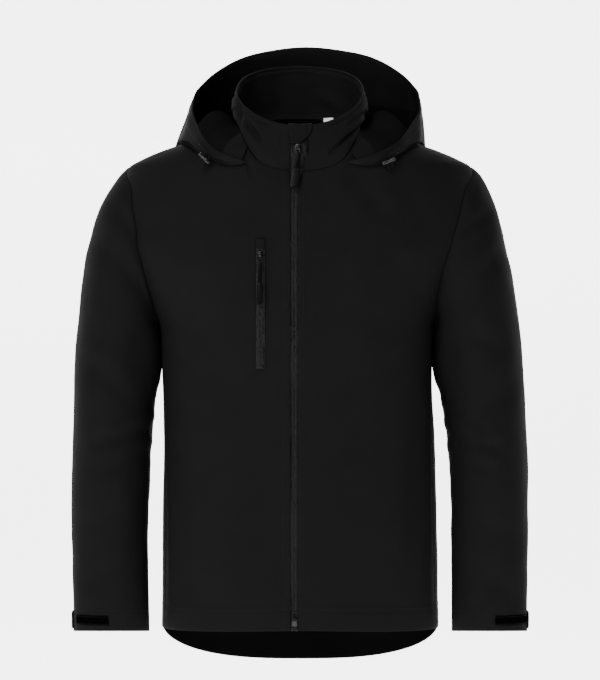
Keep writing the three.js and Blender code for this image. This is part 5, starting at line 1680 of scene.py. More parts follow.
@dataclass
class Spot:
    """A place on a surface, with its directions up and out, in millimetres."""

    point: Vector
    up: Vector
    out: Vector

    def matrix(self) -> Matrix:
        """X across, Y up and Z out, scaled to metres."""
        across = self.up.cross(self.out).normalized()
        along = self.out.cross(across)
        turn = Matrix((across, along, self.out)).transposed().to_4x4()
        return Matrix.Scale(MM, 4) @ Matrix.Translation(self.point) @ turn

    def raised(self, amount: float) -> "Spot":
        """The same place further out."""
        return Spot(self.point + self.out * amount, self.up, self.out)


def round_profile(half: float, thick: float, corner: float, steps: int = 3) -> list[tuple[float, float]]:
    """A rounded oblong, half by half the thickness, for a swept bar."""
    points = []
    for cx, cy, start in ((1, 1, 0), (-1, 1, 90), (-1, -1, 180), (1, -1, 270)):
        for i in range(steps + 1):
            angle = math.radians(start + 90 * i / steps)
            points.append((
                cx * (half - corner) + corner * math.cos(angle),
                cy * (thick / 2 - corner) + corner * math.sin(angle),
            ))
    return points


@dataclass
class Solid:
    """A small rigid shape gathered from swept bars and rounded plates, in millimetres.

    Attributes:
        name: The piece's name.
        bm: The mesh in the making.
    """

    name: str
    bm: bmesh.types.BMesh = field(default_factory=bmesh.new)

    def sweep(
        self,
        path: Sequence[Vector],
        side: Vector,
        profile: Sequence[tuple[float, float]],
        closed: bool = False,
    ) -> None:
        """Carry a profile along a path.

        Args:
            path: The middles of the rings.
            side: The profile's first direction at the start.
            profile: Offsets along the side and square to it.
            closed: Whether the path comes back to its start.
        """
        rings, count = [], len(path)
        for i, place in enumerate(path):
            after = path[(i + 1) % count] if closed else path[min(i + 1, count - 1)]
            before = path[i - 1] if closed else path[max(i - 1, 0)]
            tangent = (after - before).normalized()
            side = (side - tangent * side.dot(tangent)).normalized()
            other = tangent.cross(side)
            rings.append([self.bm.verts.new(place + side * a + other * b) for a, b in profile])
        size = len(profile)
        for i in range(count if closed else count - 1):
            one, two = rings[i], rings[(i + 1) % count]
            for j in range(size):
                k = (j + 1) % size
                self.bm.faces.new((one[j], one[k], two[k], two[j]))
        if not closed:
            self.bm.faces.new(rings[0][::-1])
            self.bm.faces.new(rings[-1])

    def plate(
        self, outline: Sequence[tuple[float, float]], low: float, high: float, bevel: float
    ) -> None:
        """A plate with softened edges.

        Args:
            outline: Its corners in X and Y.
            low: The lower face.
            high: The upper face.
            bevel: How much its edges are rounded.
        """
        part = bmesh.new()
        floor = [part.verts.new((x, y, low)) for x, y in outline]
        roof = [part.verts.new((x, y, high)) for x, y in outline]
        part.faces.new(floor[::-1])
        part.faces.new(roof)
        for i in range(len(outline)):
            j = (i + 1) % len(outline)
            part.faces.new((floor[i], floor[j], roof[j], roof[i]))
        bmesh.ops.bevel(
            part, geom=part.edges[:], offset=bevel, segments=3, profile=0.5, affect="EDGES",
            clamp_overlap=True,
        )
        mesh = bpy.data.meshes.new("part")
        part.to_mesh(mesh)
        part.free()
        self.bm.from_mesh(mesh)
        bpy.data.meshes.remove(mesh)

    def build(self, place: Matrix, finish: HardFinish | CordFinish) -> bpy.types.Object:
        """Place the shape and make it an object.

        Args:
            place: From millimetres to metres in the frame.
            finish: Its finish.

        Returns:
            The finished piece.
        """
        bmesh.ops.remove_doubles(self.bm, verts=self.bm.verts[:], dist=0.004)
        bmesh.ops.recalc_face_normals(self.bm, faces=self.bm.faces[:])
        bmesh.ops.transform(self.bm, matrix=place, verts=self.bm.verts[:])
        mesh = bpy.data.meshes.new(self.name)
        self.bm.to_mesh(mesh)
        self.bm.free()
        mesh.materials.append(PALETTE.get(finish))
        mesh.shade_smooth()
        mesh.set_sharp_from_angle(angle=math.radians(40))
        return link_object(self.name, mesh)


@dataclass
class Slider:
    """A zip slider: a waisted body with a crown over the pull's bar.

    Attributes:
        node: The CAD node that it stands for.
        wide: Half width at the shoulders.
        narrow: Half width at the foot.
        length: Its length.
        thick: Its thickness.
    """

    node: str
    wide: float
    narrow: float
    length: float
    thick: float
    crown_hole: float = 2.8
    crown_half: float = 3.5

    @property
    def bar_height(self) -> float:
        """How far the pull's bar lies above the slider's foot."""
        return self.thick + 0.2 + (self.crown_hole - 0.2) / 2

    def build(self, spot: Spot) -> None:
        """Make the slider at its place."""
        half = self.length / 2
        solid = Solid(f"{self.node}_body")
        outline = [
            (-self.narrow, -half), (self.narrow, -half), (self.wide * 0.86, -half * 0.2),
            (self.wide, half * 0.3), (self.wide * 0.8, half * 0.85), (self.wide * 0.35, half),
            (-self.wide * 0.35, half), (-self.wide * 0.8, half * 0.85), (-self.wide, half * 0.3),
            (-self.wide * 0.86, -half * 0.2),
        ]
        solid.plate(outline, 0, self.thick * 0.42, 0.35)
        solid.plate([(x * 0.94, y * 0.97) for x, y in outline], self.thick * 0.5, self.thick, 0.45)
        solid.plate([(-1, -1.5), (1, -1.5), (1, 2.5), (-1, 2.5)], 0.3, self.thick * 0.7, 0.1)
        top = self.thick + self.crown_hole + 0.5
        path = [
            Vector((0, self.crown_half * math.cos(a), self.thick - 0.6 + (top - self.thick + 0.6) * math.sin(a) ** 0.7))
            for a in [math.pi * i / 14 for i in range(15)]
        ]
        solid.sweep(path, Vector((1, 0, 0)), round_profile(1.25, 1.0, 0.35))
        settle(solid.build(spot.matrix(), METAL), "zip_metal", self.node)


@dataclass
class Pull:
    """A pull tab: a wire loop on the slider's crown, a strap and a ribbed grip.

    Attributes:
        node: The CAD node that it stands for, and the body that it rides on.
        neck: Half width of the strap.
        neck_end: Where the strap ends, below the bar.
        grip: Half width of the grip.
        grip_end: Where the grip starts to round off.
        tip: The lowest point.
        lean: How far it leans to one side as it goes down.
    """

    node: str
    neck: float
    neck_end: float
    grip: float
    grip_end: float
    tip: float
    lean: float
    loop_end: float = 9.0

    def _at(self, x: float, y: float) -> tuple[float, float]:
        """A point leaning with the tab."""
        return x + self.lean * min(y + self.loop_end, 0), y

    def _plate(self, solid: Solid, outline: Sequence[tuple[float, float]], low: float, high: float, bevel: float) -> None:
        """A leaning plate."""
        solid.plate([self._at(x, y) for x, y in outline], low, high, bevel)

    def build(self, spot: Spot) -> None:
        """Make the pull at its place."""
        ring = Solid(f"{self.node}_loop")
        half, low, high, corner = 2.5, -self.loop_end - 0.2, 0.0, 1.1
        path = []
        for cx, cy, start in ((1, high, 0), (-1, high, 90), (-1, low, 180), (1, low, 270)):
            inner = cy - corner if cy == high else cy + corner
            for i in range(5):
                angle = math.radians(start + 90 * i / 4)
                path.append(Vector((
                    cx * (half - corner) + corner * math.cos(angle), inner + corner * math.sin(angle), 0,
                )))
        ring.sweep(path, Vector((0, 0, 1)), round_profile(0.7, 1.4, 0.65), closed=True)
        grip = Solid(f"{self.node}_grip")
        n, g, e, t = self.neck, self.grip, self.neck_end, self.tip
        strap = [
            (-n, -e - 2), (n, -e - 2), (n, -self.loop_end - 1), (n * 0.7, -self.loop_end + 1.2),
            (-n * 0.7, -self.loop_end + 1.2), (-n, -self.loop_end - 1),
        ]
        self._plate(grip, strap, -0.9, 1.0, 0.4)
        body = [
            (-g * 0.55, -t), (g * 0.55, -t), (g * 0.92, -t + (t - self.grip_end) * 0.4), (g, -self.grip_end),
            (g, -e - 4), (g * 0.8, -e), (-g * 0.8, -e), (-g, -e - 4), (-g, -self.grip_end),
            (-g * 0.92, -t + (t - self.grip_end) * 0.4),
        ]
        self._plate(grip, body, -1.4, 1.7, 0.8)
        ribs = max(4, int((self.grip_end - e) / 3.2))
        for i in range(ribs):
            y = -e - 4.5 - (self.grip_end - e - 5) * i / (ribs - 1)
            bar = [(-g * 0.72, y - 0.55), (g * 0.72, y - 0.55), (g * 0.72, y + 0.55), (-g * 0.72, y + 0.55)]
            self._plate(grip, bar, 1.2, 2.15, 0.35)
        rim = [(-n * 0.55, -e + 1), (n * 0.55, -e + 1), (n * 0.55, -self.loop_end - 2), (-n * 0.55, -self.loop_end - 2)]
        self._plate(grip, rim, 0.7, 1.35, 0.3)
        loop = settle(ring.build(spot.matrix(), METAL), "grip", self.node, body=self.node)
        handle = settle(grip.build(spot.matrix(), RUBBER), "grip", self.node, body=self.node)
        LOG.info("%s and %s swing on the slider", loop.name, handle.name)


@dataclass
class FrontZip:
    """The centre-front zip: tape, coil, slider, pull and stop."""

    side_gap: float = 0.5
    recess: float = 0.9
    coil_half: float = 2.4
    slider_z: float = -48.0
    stop_z: float = -716.0
    bottom_z: float = -722.0
    top_gap: float = 3.0
    slider: Slider = field(default_factory=lambda: Slider("front_zip_slider", 4.6, 3.4, 12.4, 3.0))
    pull: Pull = field(
        default_factory=lambda: Pull("front_zip_pull", 4.0, 31.0, 6.2, 54.0, 61.0, 0.11)
    )

    def levels(self) -> list[tuple[Vector, Vector]]:
        """The closing edges, level by level from the hem to the collar's rim."""
        pairs = []
        steps = 110
        for i in range(steps):
            z = self.bottom_z + (NECK_FRONT_Z - 0.6 - self.bottom_z) * i / steps
            pair = []
            for side in SIDES:
                x = SHELL.closing.read(side, z)
                pair.append(SHELL.point(SHELL.turn_at(x, z), z))
            pairs.append((pair[0], pair[1]))
        for i in range(15):
            pair = []
            for side in SIDES:
                point = Collar.point(SHELL.neck_edge[side].at(0), i / 14 * 0.965, folds=False)
                point.x = SHELL.closing.read(side, point.z)
                pair.append(point)
            pairs.append((pair[0], pair[1]))
        return pairs

    def _between(self, pair: tuple[Vector, Vector], x: float) -> Vector:
        """The point between two edges at an x."""
        right, left = pair
        return right.lerp(left, (x - right.x) / (left.x - right.x))

    def line(self, offset: float, lift: float) -> Line:
        """A line along the zip, to one side of its middle."""
        levels = self.levels()[:-2]
        points = [self._between(p, SHELL.closing.read("zip", p[0].z) + offset) for p in levels]
        outs = []
        for i in range(len(points)):
            up = points[min(i + 1, len(points) - 1)] - points[max(i - 1, 0)]
            outs.append(Vector((1, 0, 0)).cross(up).normalized())
        return Line(points, outs).lifted(lift)

    def spot(self, z: float, lift: float) -> Spot:
        """A place on the middle of the zip."""
        line = self.line(0, 0)
        i = next(k for k, p in enumerate(line.points) if p.z > z)
        low, high = line.points[i - 1], line.points[i]
        point = low.lerp(high, (z - low.z) / (high.z - low.z))
        up = (high - low).normalized()
        up.x = 0
        up.normalize()
        out = Vector((1, 0, 0)).cross(up)
        return Spot(point + out * lift, up, out)

    def tape(self) -> None:
        """The woven tape with the raised bed of the coil."""
        rows = []
        for pair in self.levels():
            zip_x = SHELL.closing.read("zip", pair[0].z)
            first, last = pair[0].x + self.side_gap - 2.5, pair[1].x - self.side_gap + 2.5
            xs = [first, pair[0].x + self.side_gap, zip_x - self.coil_half - 1.2, zip_x - self.coil_half,
                  zip_x - 0.9, zip_x, zip_x + 0.9, zip_x + self.coil_half, zip_x + self.coil_half + 1.2,
                  pair[1].x - self.side_gap, last]
            sunk = [2.6, 1.5, 1.3, 0.9, 0.8, 1.4, 0.8, 0.9, 1.3, 1.5, 2.6]
            rows.append([self._between(pair, x) + Vector((0, s, 0)) for x, s in zip(xs, sunk)])
        piece = Cloth("front_zip_tape", Grid(rows), lambda r, c: 0.7, ZIP_TAPE, ZIP_TAPE).build()
        settle(piece, "zip_tape", "front_zip")

    def build(self) -> list[Line]:
        """Make the zip.

        Returns:
            The two lines of its coil.
        """
        self.tape()
        self.slider.build(self.spot(self.slider_z, 0.3))
        self.pull.build(self.spot(self.slider_z, 0.3 + self.slider.bar_height))
        stop = Solid("front_zip_stop_box")
        stop.plate([(-3.8, 0), (3.8, 0), (3.8, 12), (-3.8, 12)], 0.3, 2.9, 0.7)
        stop.plate([(-2.2, 2), (2.2, 2), (2.2, 10), (-2.2, 10)], 2.4, 3.3, 0.3)
        settle(stop.build(self.spot(self.stop_z, 0).matrix(), METAL), "zip_metal", "front_zip_stop")
        return [self.line(-2.5, -0.35), self.line(2.5, -0.35)]


@dataclass
class ChestPocket:
    """The upright zip pocket on the right front."""

    x: float = -55.0
    half: float = 6.2
    bottom: float = -357.0
    garage: float = -190.0
    top: float = -177.0
    slider_z: float = -199.0
    slider: Slider = field(default_factory=lambda: Slider("chest_zip_slider", 4.0, 3.0, 11.0, 2.6))
    pull: Pull = field(
        default_factory=lambda: Pull("chest_zip_pull", 2.6, 40.0, 4.0, 66.0, 71.0, 0.0, 9.0)
    )

    def spot(self, dx: float, z: float, lift: float) -> Spot:
        """A place on the panel beside the pocket's middle line."""
        x = self.x + dx
        out = SHELL.normal(SHELL.turn_at(x, z), z)
        point = SHELL.point(SHELL.turn_at(x, z), z)
        up = (UP - out * UP.dot(out)).normalized()
        return Spot(point + out * lift, up, out)

    def strip(self, name: str, low: float, high: float, steps: int, profile: Sequence[tuple[float, float]]) -> Grid:
        """A strip along the pocket from offsets across and lifts."""
        rows = []
        for i in range(steps + 1):
            z = low + (high - low) * i / steps
            rows.append([self.spot(dx, z, lift).point for dx, lift in profile])
        LOG.info("%s: strip of %d rows", name, len(rows))
        return Grid(rows)

    def build(self) -> tuple[list[Line], list[Line]]:
        """Make the pocket.

        Returns:
            The lines of its coil and of its stitches.
        """
        tape = self.strip("chest tape", self.bottom, self.garage - 0.4, 40, (
            (-self.half, 1.0), (-self.half + 0.8, 1.6), (-3.6, 1.6), (-2.6, 1.9), (-1, 2.1), (0, 1.9),
            (1, 2.1), (2.6, 1.9), (3.6, 1.6), (self.half - 0.8, 1.6), (self.half, 1.0),
        ))
        piece = Cloth("chest_zip_tape", tape, lambda r, c: 1.3, ZIP_TAPE, ZIP_TAPE).build()
        settle(piece, "zip_tape", "chest_zip")
        garage = self.strip("garage", self.garage, self.top, 8, (
            (-self.half, 1.4), (-self.half + 1, 2.4), (-2, 2.7), (0, 2.8), (2, 2.7), (self.half - 1, 2.4),
            (self.half, 1.4),
        ))
        piece = Cloth("chest_garage_cloth", garage, lambda r, c: 1.6, SOFTSHELL, SOFTSHELL, 3).build()
        settle(piece, "softshell", "chest_zip_garage")
        mount = self.spot(0, self.slider_z, 2.8)
        self.slider.build(mount)
        self.pull.build(mount.raised(self.slider.bar_height))
        coil = [self._line(dx, self.bottom + 2, self.garage - 1, 2.35) for dx in (-2.4, 2.4)]
        frame = [self._line(dx, self.bottom - 4, self.top + 3, 0.9) for dx in (-9.2, 9.2)]
        frame += [self._bar(self.bottom - 4, 0.9), self._bar(self.top + 3, 0.9)]
        return coil, frame

    def _line(self, dx: float, low: float, high: float, lift: float) -> Line:
        """An upright line on the panel."""
        spots = [self.spot(dx, low + (high - low) * i / 40, lift) for i in range(41)]
        return Line([s.point for s in spots], [s.out for s in spots])

    def _bar(self, z: float, lift: float) -> Line:
        """A short line across the pocket's end."""
        spots = [self.spot(-9.2 + 18.4 * i / 8, z, lift) for i in range(9)]
        return Line([s.point for s in spots], [s.out for s in spots])


GUARD = (
    ("z", "left", "right"),
    (-41, -12.7, -5), (-39.6, -12.8, -0.5), (-37, -13, 3.4), (-33.8, -13.4, 7),
    (-30, -14, 10.8), (-26, -14.7, 13.5), (-21, -15.3, 15.2), (-15.4, -16.1, 16.4),
)


@dataclass
class ChinGuard:
    """The fold of cloth over the top of the zip, bound along its edge."""

    lift: float = 0.7
    cloth: float = 1.4
    inside: float = 10.0
    columns: int = 30
    levels: int = 26

    @staticmethod
    def spot(x: float, share: float) -> Spot:
        """A place on the collar's outside at the front."""

        def place(px: float, s: float) -> Vector:
            """The collar's point above a place on the neck seam."""
            z = SHELL.neck.read("z", abs(px))
            return Collar.point(SHELL.point(SHELL.turn_at(px, z), z), s)

        up = (place(x, share + 0.01) - place(x, share - 0.01)).normalized()
        out = (place(x + 1, share) - place(x - 1, share)).cross(up).normalized()
        return Spot(place(x, share), up, out)

    def build(self) -> list[Line]:
        """Make the guard.

        Returns:
            The row of stitches inside its binding.
        """
        table = Table(GUARD)
        shares = [i / self.columns for i in range(self.columns + 1)]
        reach = self.lift + self.cloth
        rows = []
        low, high = GUARD[1][0], GUARD[-1][0]
        for i in range(self.levels + 1):
            z = low + (high - low) * i / self.levels
            row = []
            for u in shares:
                x = table.read("left", z) + (table.read("right", z) - table.read("left", z)) * u
                foot, rim = self.spot(x, 0).point.z, self.spot(x, 1).point.z
                spot = self.spot(x, (z - foot) / (rim - foot))
                edge = min((1 - u) * (table.read("right", z) - table.read("left", z)), 1.5 * (z - low))
                bound = 0.6 * (1 - smoothstep(4.2, 5.2, edge)) - 0.5 * bell(edge - 5.4, 0.9)
                row.append(spot.point + spot.out * (reach + bound))
            rows.append(row)

        def rolled(angle: float, down: float) -> list[Vector]:
            """A row round the collar's rim."""
            row = []
            for u in shares:
                left, right = table.read("left", high), table.read("right", high)
                spot = self.spot(left + (right - left) * u, 1)
                middle = spot.point - spot.out * (COLLAR_CLOTH / 2)
                radius = COLLAR_CLOTH / 2 + reach
                turn = math.radians(angle)
                row.append(
                    middle + spot.out * radius * math.cos(turn)
                    + spot.up * (radius * math.sin(turn) - down)
                )
            return row

        rows += [rolled(angle, 0) for angle in range(20, 181, 20)]
        rows += [rolled(180, self.inside * i / 4) for i in range(1, 5)]
        grid = Grid(rows)
        piece = Cloth("chin_guard_cloth", grid, lambda r, c: self.cloth, SOFTSHELL, SOFTSHELL, 3).build()
        settle(piece, "softshell", "chin_guard")
        face = Grid(rows[6:self.levels])
        return [face.inset(Edge.END, 5.6, 0.0)]


@dataclass
class CuffTrim:
    """The loop patch and the closing tab at one cuff."""

    sleeve: Sleeve
    tab_range: tuple[float, float] = (-7.3, 0.8)
    patch_low: float = -721.0
    patch_high: float = -708.0
    tab_low: float = -728.4
    tab_high: float = -705.0

    def band(self, start: float, end: float, low: float, high: float, lift: float, sag: float) -> Grid:
        """A strip on the cuff between two places of the CAD's ring of 24.

        Args:
            start: Where it starts round the ring.
            end: Where it ends.
            low: Its lower edge.
            high: Its upper edge.
            lift: How far it lies off the cuff.
            sag: How much its edges press down.

        Returns:
            The strip.
        """
        grid = self.sleeve.grid
        per = self.sleeve.around / 24
        steps = max(12, int((end - start) * 4))
        rows = []
        for j in range(9):
            z = low + (high - low) * j / 8
            row = []
            for i in range(steps + 1):
                k = (start + (end - start) * i / steps) * per
                near = 0
                while near < 30 and grid.spot(near + 1, k)[0].z < z:
                    near += 1
                a, b = grid.spot(near, k)[0].z, grid.spot(near + 1, k)[0].z
                point, out = grid.spot(near + (z - a) / (b - a), k)
                edge = min(i, steps - i, 2 * j, 2 * (8 - j)) / 3
                row.append(point + out * (lift - sag * (1 - min(edge, 1)) ** 2))
            rows.append(row)
        return Grid(rows, sign=self.sleeve.grid.sign)

    def build(self) -> list[Line]:
        """Make the patch and the tab.

        Returns:
            The stitches round them.
        """
        side = self.sleeve.side
        start, end = (1.9, 5.9) if side == "right" else (1.2, 5.6)
        patch_grid = self.band(start, end, self.patch_low, self.patch_high, 1.4, 0.3)
        piece = Cloth(f"cuff_patch_{side}_loops", patch_grid, lambda r, c: 1.0, PATCH, PATCH).build()
        settle(piece, "loop_patch", f"cuff_patch_{side}")
        tab_grid = self.band(*self.tab_range, self.tab_low, self.tab_high, 2.6, 0.5)
        piece = Cloth(f"cuff_tab_{side}_cloth", tab_grid, lambda r, c: 1.9, SOFTSHELL, SOFTSHELL, 3).build()
        settle(piece, "softshell", f"cuff_tab_{side}")
        lines = [tab_grid.inset(edge, 3.0, 0.1) for edge in Edge]
        lines += [patch_grid.inset(edge, 1.4, 0.1) for edge in (Edge.BOTTOM, Edge.TOP)]
        return lines


def smooth_route(points: Sequence[Vector], per: int) -> list[Vector]:
    """A smooth curve through points that does not overshoot.

    Args:
        points: The points to pass through.
        per: How many steps each stretch has.

    Returns:
        The curve's points.
    """

    def between(p: Vector, q: Vector, low: float, high: float, at: float) -> Vector:
        """The point that moves from p at low to q at high."""
        return p.lerp(q, (at - low) / (high - low))

    ends = [points[0] * 2 - points[1], *points, points[-1] * 2 - points[-2]]
    curve = []
    for a, b, c, d in zip(ends, ends[1:], ends[2:], ends[3:]):
        one = math.sqrt((b - a).length)
        two = one + math.sqrt((c - b).length)
        three = two + math.sqrt((d - c).length)
        for step in range(per):
            at = one + (two - one) * step / per
            ab, bc = between(a, b, 0, one, at), between(b, c, one, two, at)
            cd = between(c, d, two, three, at)
            abc, bcd = between(ab, bc, 0, two, at), between(bc, cd, one, three, at)
            curve.append(between(abc, bcd, one, two, at))
    curve.append(points[-1].copy())
    return curve


@dataclass
class HoodCord:
    """The two strands of cord at one side of the hood, their eyelet and their toggle.

    Attributes:
        side: Which side.
        lock: The toggle's middle.
        angle: The toggle's tilt in degrees.
        seat: The eyelet's middle.
        seat_out: The direction out of the cloth there.
        routes: The points of the two strands, through the toggle to their ends.
    """

    side: str
    lock: Vector
    angle: float
    seat: Vector
    seat_out: Vector
    routes: tuple[tuple[tuple[float, float, float], ...], ...]
    radius: float = 0.95
    lock_half: float = 9.8
    lock_radius: float = 3.0

    def strand(self, index: int) -> tuple[bpy.types.Object, list[Vector]]:
        """One strand as a tube along its route.

        Args:
            index: 1 or 2.

        Returns:
            The piece and the middles of its rings in metres.
        """
        path = smooth_route([Vector(p) for p in self.routes[index - 1]], 4)
        sides = 10
        name = f"hood_cord_{self.side}_{index}"
        points, faces, spans = [], [], [0.0]
        side = Vector((1, 0, 0))
        for i, place in enumerate(path):
            tangent = (path[min(i + 1, len(path) - 1)] - path[max(i - 1, 0)]).normalized()
            side = (side - tangent * side.dot(tangent)).normalized()
            other = tangent.cross(side)
            if i:
                spans.append(spans[-1] + (place - path[i - 1]).length)
            for j in range(sides):
                turn = 2 * math.pi * j / sides
                points.append(place + (side * math.cos(turn) + other * math.sin(turn)) * self.radius)
        for i in range(len(path) - 1):
            for j in range(sides):
                k = (j + 1) % sides
                faces.append((i * sides + j, i * sides + k, (i + 1) * sides + k, (i + 1) * sides + j))
        faces.append(tuple(range(sides))[::-1])
        last = (len(path) - 1) * sides
        faces.append(tuple(range(last, last + sides)))
        mesh = bpy.data.meshes.new(name)
        mesh.from_pydata([p * MM for p in points], [], faces)
        mesh.materials.append(PALETTE.get(CORD))
        layer = mesh.uv_layers.new(name="UVMap")
        girth = 2 * math.pi * self.radius * MM
        for polygon in mesh.polygons:
            turns = [mesh.loops[i].vertex_index % sides for i in polygon.loop_indices]
            for i in polygon.loop_indices:
                row, turn = divmod(mesh.loops[i].vertex_index, sides)
                turn = sides if turn == 0 and sides - 1 in turns else turn
                layer.data[i].uv = (girth * turn / sides, spans[row] * MM)
        mesh.shade_smooth()
        mesh.set_sharp_from_angle(angle=math.radians(50))
        piece = link_object(name, mesh)
        settle(piece, "cord", f"{name}_top", f"{name}_end")
        return piece, [p * MM for p in path]

    def toggle(self) -> bpy.types.Object:
        """The toggle that both strands run through."""
        solid = Solid(f"hood_lock_{self.side}_toggle")
        stations = (
            (-1.0, 0.5), (-0.985, 0.78), (-0.93, 0.97), (-0.86, 1.0), (-0.72, 1.0), (-0.69, 0.88), (-0.63, 0.88),
            (-0.6, 1.0), (-0.2, 1.0), (-0.17, 0.92), (0.17, 0.92), (0.2, 1.0), (0.6, 1.0), (0.63, 0.88),
            (0.69, 0.88), (0.72, 1.0), (0.86, 1.0), (0.93, 0.97), (0.985, 0.78), (1.0, 0.5),
        )
        sides = 20
        rings = []
        for along, size in stations:
            ring = []
            for j in range(sides):
                turn = 2 * math.pi * j / sides
                ring.append(solid.bm.verts.new((
                    along * self.lock_half,
                    size * self.lock_radius * math.cos(turn),
                    size * self.lock_radius * math.sin(turn),
                )))
            rings.append(ring)
        for one, two in zip(rings, rings[1:]):
            for j in range(sides):
                k = (j + 1) % sides
                solid.bm.faces.new((one[j], one[k], two[k], two[j]))
        solid.bm.faces.new(rings[0][::-1])
        solid.bm.faces.new(rings[-1])
        turn = Matrix.Rotation(-math.radians(self.angle), 4, "Y")
        place = Matrix.Scale(MM, 4) @ Matrix.Translation(self.lock) @ turn
        return settle(solid.build(place, NYLON), "grip", f"hood_lock_{self.side}")

    def build(self) -> None:
        """Make the eyelet, the toggle and both strands."""
        toggle = self.toggle()
        for index in (1, 2):
            piece, path = self.strand(index)
            length = sum((b - a).length for a, b in zip(path, path[1:]))
            tuple(path[0])
            [tuple(p) for p in path]
        ring = Solid(f"hood_eyelet_{self.side}_ring")
        path = [
            Vector((3.4 * math.cos(math.pi * i / 16), 3.4 * math.sin(math.pi * i / 16), 0.5))
            for i in range(32)
        ]
        ring.sweep(path, Vector((0, 0, 1)), round_profile(0.55, 2.3, 0.5), closed=True)
        spot = Spot(self.seat, UP, self.seat_out.normalized())
        settle(ring.build(spot.matrix(), METAL), "zip_metal", f"hood_eyelet_{self.side}")


HOOD_CORDS = (
    HoodCord(
        "right", Vector((-134.5, -92, -61.4)), -45, Vector((-139.7, -72.5, -43.7)), Vector((-0.38, -0.75, 0.55)),
        (
            ((-140.8, -73.1, -42.4), (-142.2, -75.4, -40.6), (-132.7, -92, -53.9), (-134.8, -92, -56),
             (-139.9, -92, -61.1), (-140.9, -92, -62.2), (-142.8, -92, -67.9)),
            ((-139.1, -73.1, -44.1), (-140.1, -75.4, -42.7), (-127, -92, -59.6), (-129.1, -92, -61.7),
             (-134.2, -92, -66.8), (-135.3, -92, -67.8), (-137.1, -92, -73.6)),
        ),
    ),
    HoodCord(
        "left", Vector((124.5, -95, -66)), 22, Vector((137, -79.1, -49.3)), Vector((0.47, -0.81, 0.36)),
        (
            ((136.3, -79.7, -49.5), (137.4, -82.1, -48.5), (119.2, -95, -61), (120.4, -95, -63.8),
             (123.1, -95, -70.5), (123.6, -95, -71.9), (124.5, -95, -77.8)),
            ((138.5, -79.7, -48.6), (140.2, -82.1, -47.4), (124.8, -95, -58.8), (125.9, -95, -61.5),
             (128.6, -95, -68.2), (129.2, -95, -69.6), (130.1, -95, -75.5)),
        ),
    ),
)


@dataclass
class NeckLabel:
    """The blank woven label inside the back of the neck."""

    place: Vector = field(default_factory=lambda: Vector((41.5, 56, -3.5)))
    wide: float = 15.0
    high: float = 21.0
    turn: float = -25.7

    def build(self) -> None:
        """Make the label."""
        rows = []
        turn = Matrix.Rotation(math.radians(self.turn), 4, "Z")
        for j in range(11):
            z = (j / 10 - 0.5) * self.high
            row = []
            for i in range(9):
                x = (i / 8 - 0.5) * self.wide
                bow = 0.5 * math.sin(math.pi * j / 10) * math.sin(math.pi * i / 8)
                row.append(self.place + turn @ Vector((x, -0.3 - bow, z)))
            rows.append(row)
        piece = Cloth("neck_label_cloth", Grid(rows), lambda r, c: 0.5, LABEL, LABEL).build()
        settle(piece, "label", "neck_label")


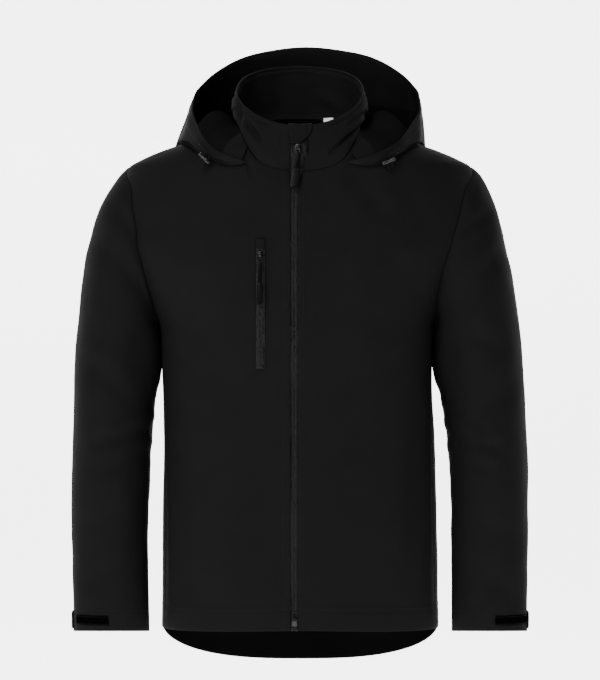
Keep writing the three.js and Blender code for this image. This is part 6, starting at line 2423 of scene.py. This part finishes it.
@dataclass
class Studio:
    """The camera, the lights and the pale surroundings."""

    distance: float = 4.0
    view_height: float = -0.317
    picture_height: float = 680 * 1.44 * MM

    def camera(self) -> None:
        """Look straight at the front, level with the middle of the picture."""
        data = bpy.data.cameras.new("camera")
        data.sensor_fit = "VERTICAL"
        data.sensor_height = 24
        data.lens = 24 * self.distance / self.picture_height
        camera = bpy.data.objects.new("camera", data)
        camera.location = (0, -self.distance, self.view_height)
        camera.rotation_euler = (math.pi / 2, 0, 0)
        bpy.context.scene.collection.objects.link(camera)
        bpy.context.scene.camera = camera

    def light(self, name: str, place: Vector, size: float, power: float) -> None:
        """One soft area light that faces the jacket.

        Args:
            name: The light's name.
            place: Where it stands, in metres.
            size: How wide it is.
            power: Its power in watts.
        """
        data = bpy.data.lights.new(name, "AREA")
        data.size = size
        data.energy = power
        lamp = bpy.data.objects.new(name, data)
        lamp.location = place
        lamp.rotation_euler = (Vector((0, 0, -0.35)) - place).to_track_quat("-Z", "Y").to_euler()
        bpy.context.scene.collection.objects.link(lamp)

    def surroundings(self) -> None:
        """A pale floor that curves up behind, and white light from all round."""
        profile = [(-6, 0), (2.2, 0)]
        profile += [
            (2.2 + 1.2 * math.sin(math.pi / 2 * i / 12), 1.2 * (1 - math.cos(math.pi / 2 * i / 12)))
            for i in range(1, 13)
        ]
        profile.append((3.4, 6))
        points, faces = [], []
        for y, z in profile:
            points += [(-7, y, z - 1.05), (7, y, z - 1.05)]
        for i in range(len(profile) - 1):
            faces.append((2 * i, 2 * i + 1, 2 * i + 3, 2 * i + 2))
        mesh = bpy.data.meshes.new("floor")
        mesh.from_pydata(points, [], faces)
        mesh.shade_smooth()
        nodes = Nodes("floor_paint")
        nodes.set(
            Base_Color=(0.9, 0.9, 0.9, 1), Roughness=0.9, Specular_IOR_Level=0.1,
            Emission_Color=(1, 1, 1, 1), Emission_Strength=3.2,
        )
        mesh.materials.append(nodes.material)
        link_object("floor", mesh)
        world = bpy.data.worlds.new("studio")
        world.use_nodes = True
        background = world.node_tree.nodes["Background"]
        background.inputs["Color"].default_value = (1, 1, 1, 1)
        background.inputs["Strength"].default_value = 0.30
        bpy.context.scene.world = world

    def build(self) -> None:
        """Set up the studio."""
        self.camera()
        self.surroundings()
        self.light("key", Vector((-2.4, -3.2, 2.2)), 1.6, 180)
        self.light("fill", Vector((2.8, -3.0, 1.0)), 2.4, 4)
        self.light("top", Vector((-0.8, -1.5, 3.0)), 2.0, 110)


def main() -> None:
    """Build the jacket and its studio."""
    Studio().build()
    for cord in HOOD_CORDS:
        cord.build()
    trunk = Trunk()
    trunk.build()
    sleeves = [Sleeve(side) for side in SIDES]
    for sleeve in sleeves:
        sleeve.build()
    collar = Collar()
    collar.build()
    hood = Hood()
    hood.build()
    coil = FrontZip().build()
    pocket_coil, frame_lines = ChestPocket().build()
    lines = trunk.stitches() + collar.stitches() + hood.stitches() + ChinGuard().build() + frame_lines
    for sleeve in sleeves:
        lines += sleeve.stitches() + CuffTrim(sleeve).build()
    NeckLabel().build()
    beads = BeadTree()
    settle(beads.apply("stitches", lines, STITCH, THREAD), "softshell")
    settle(beads.apply("zip_coils", coil + pocket_coil, TOOTH, COIL), "zip_tape")


if __name__ == "__main__":
    main()
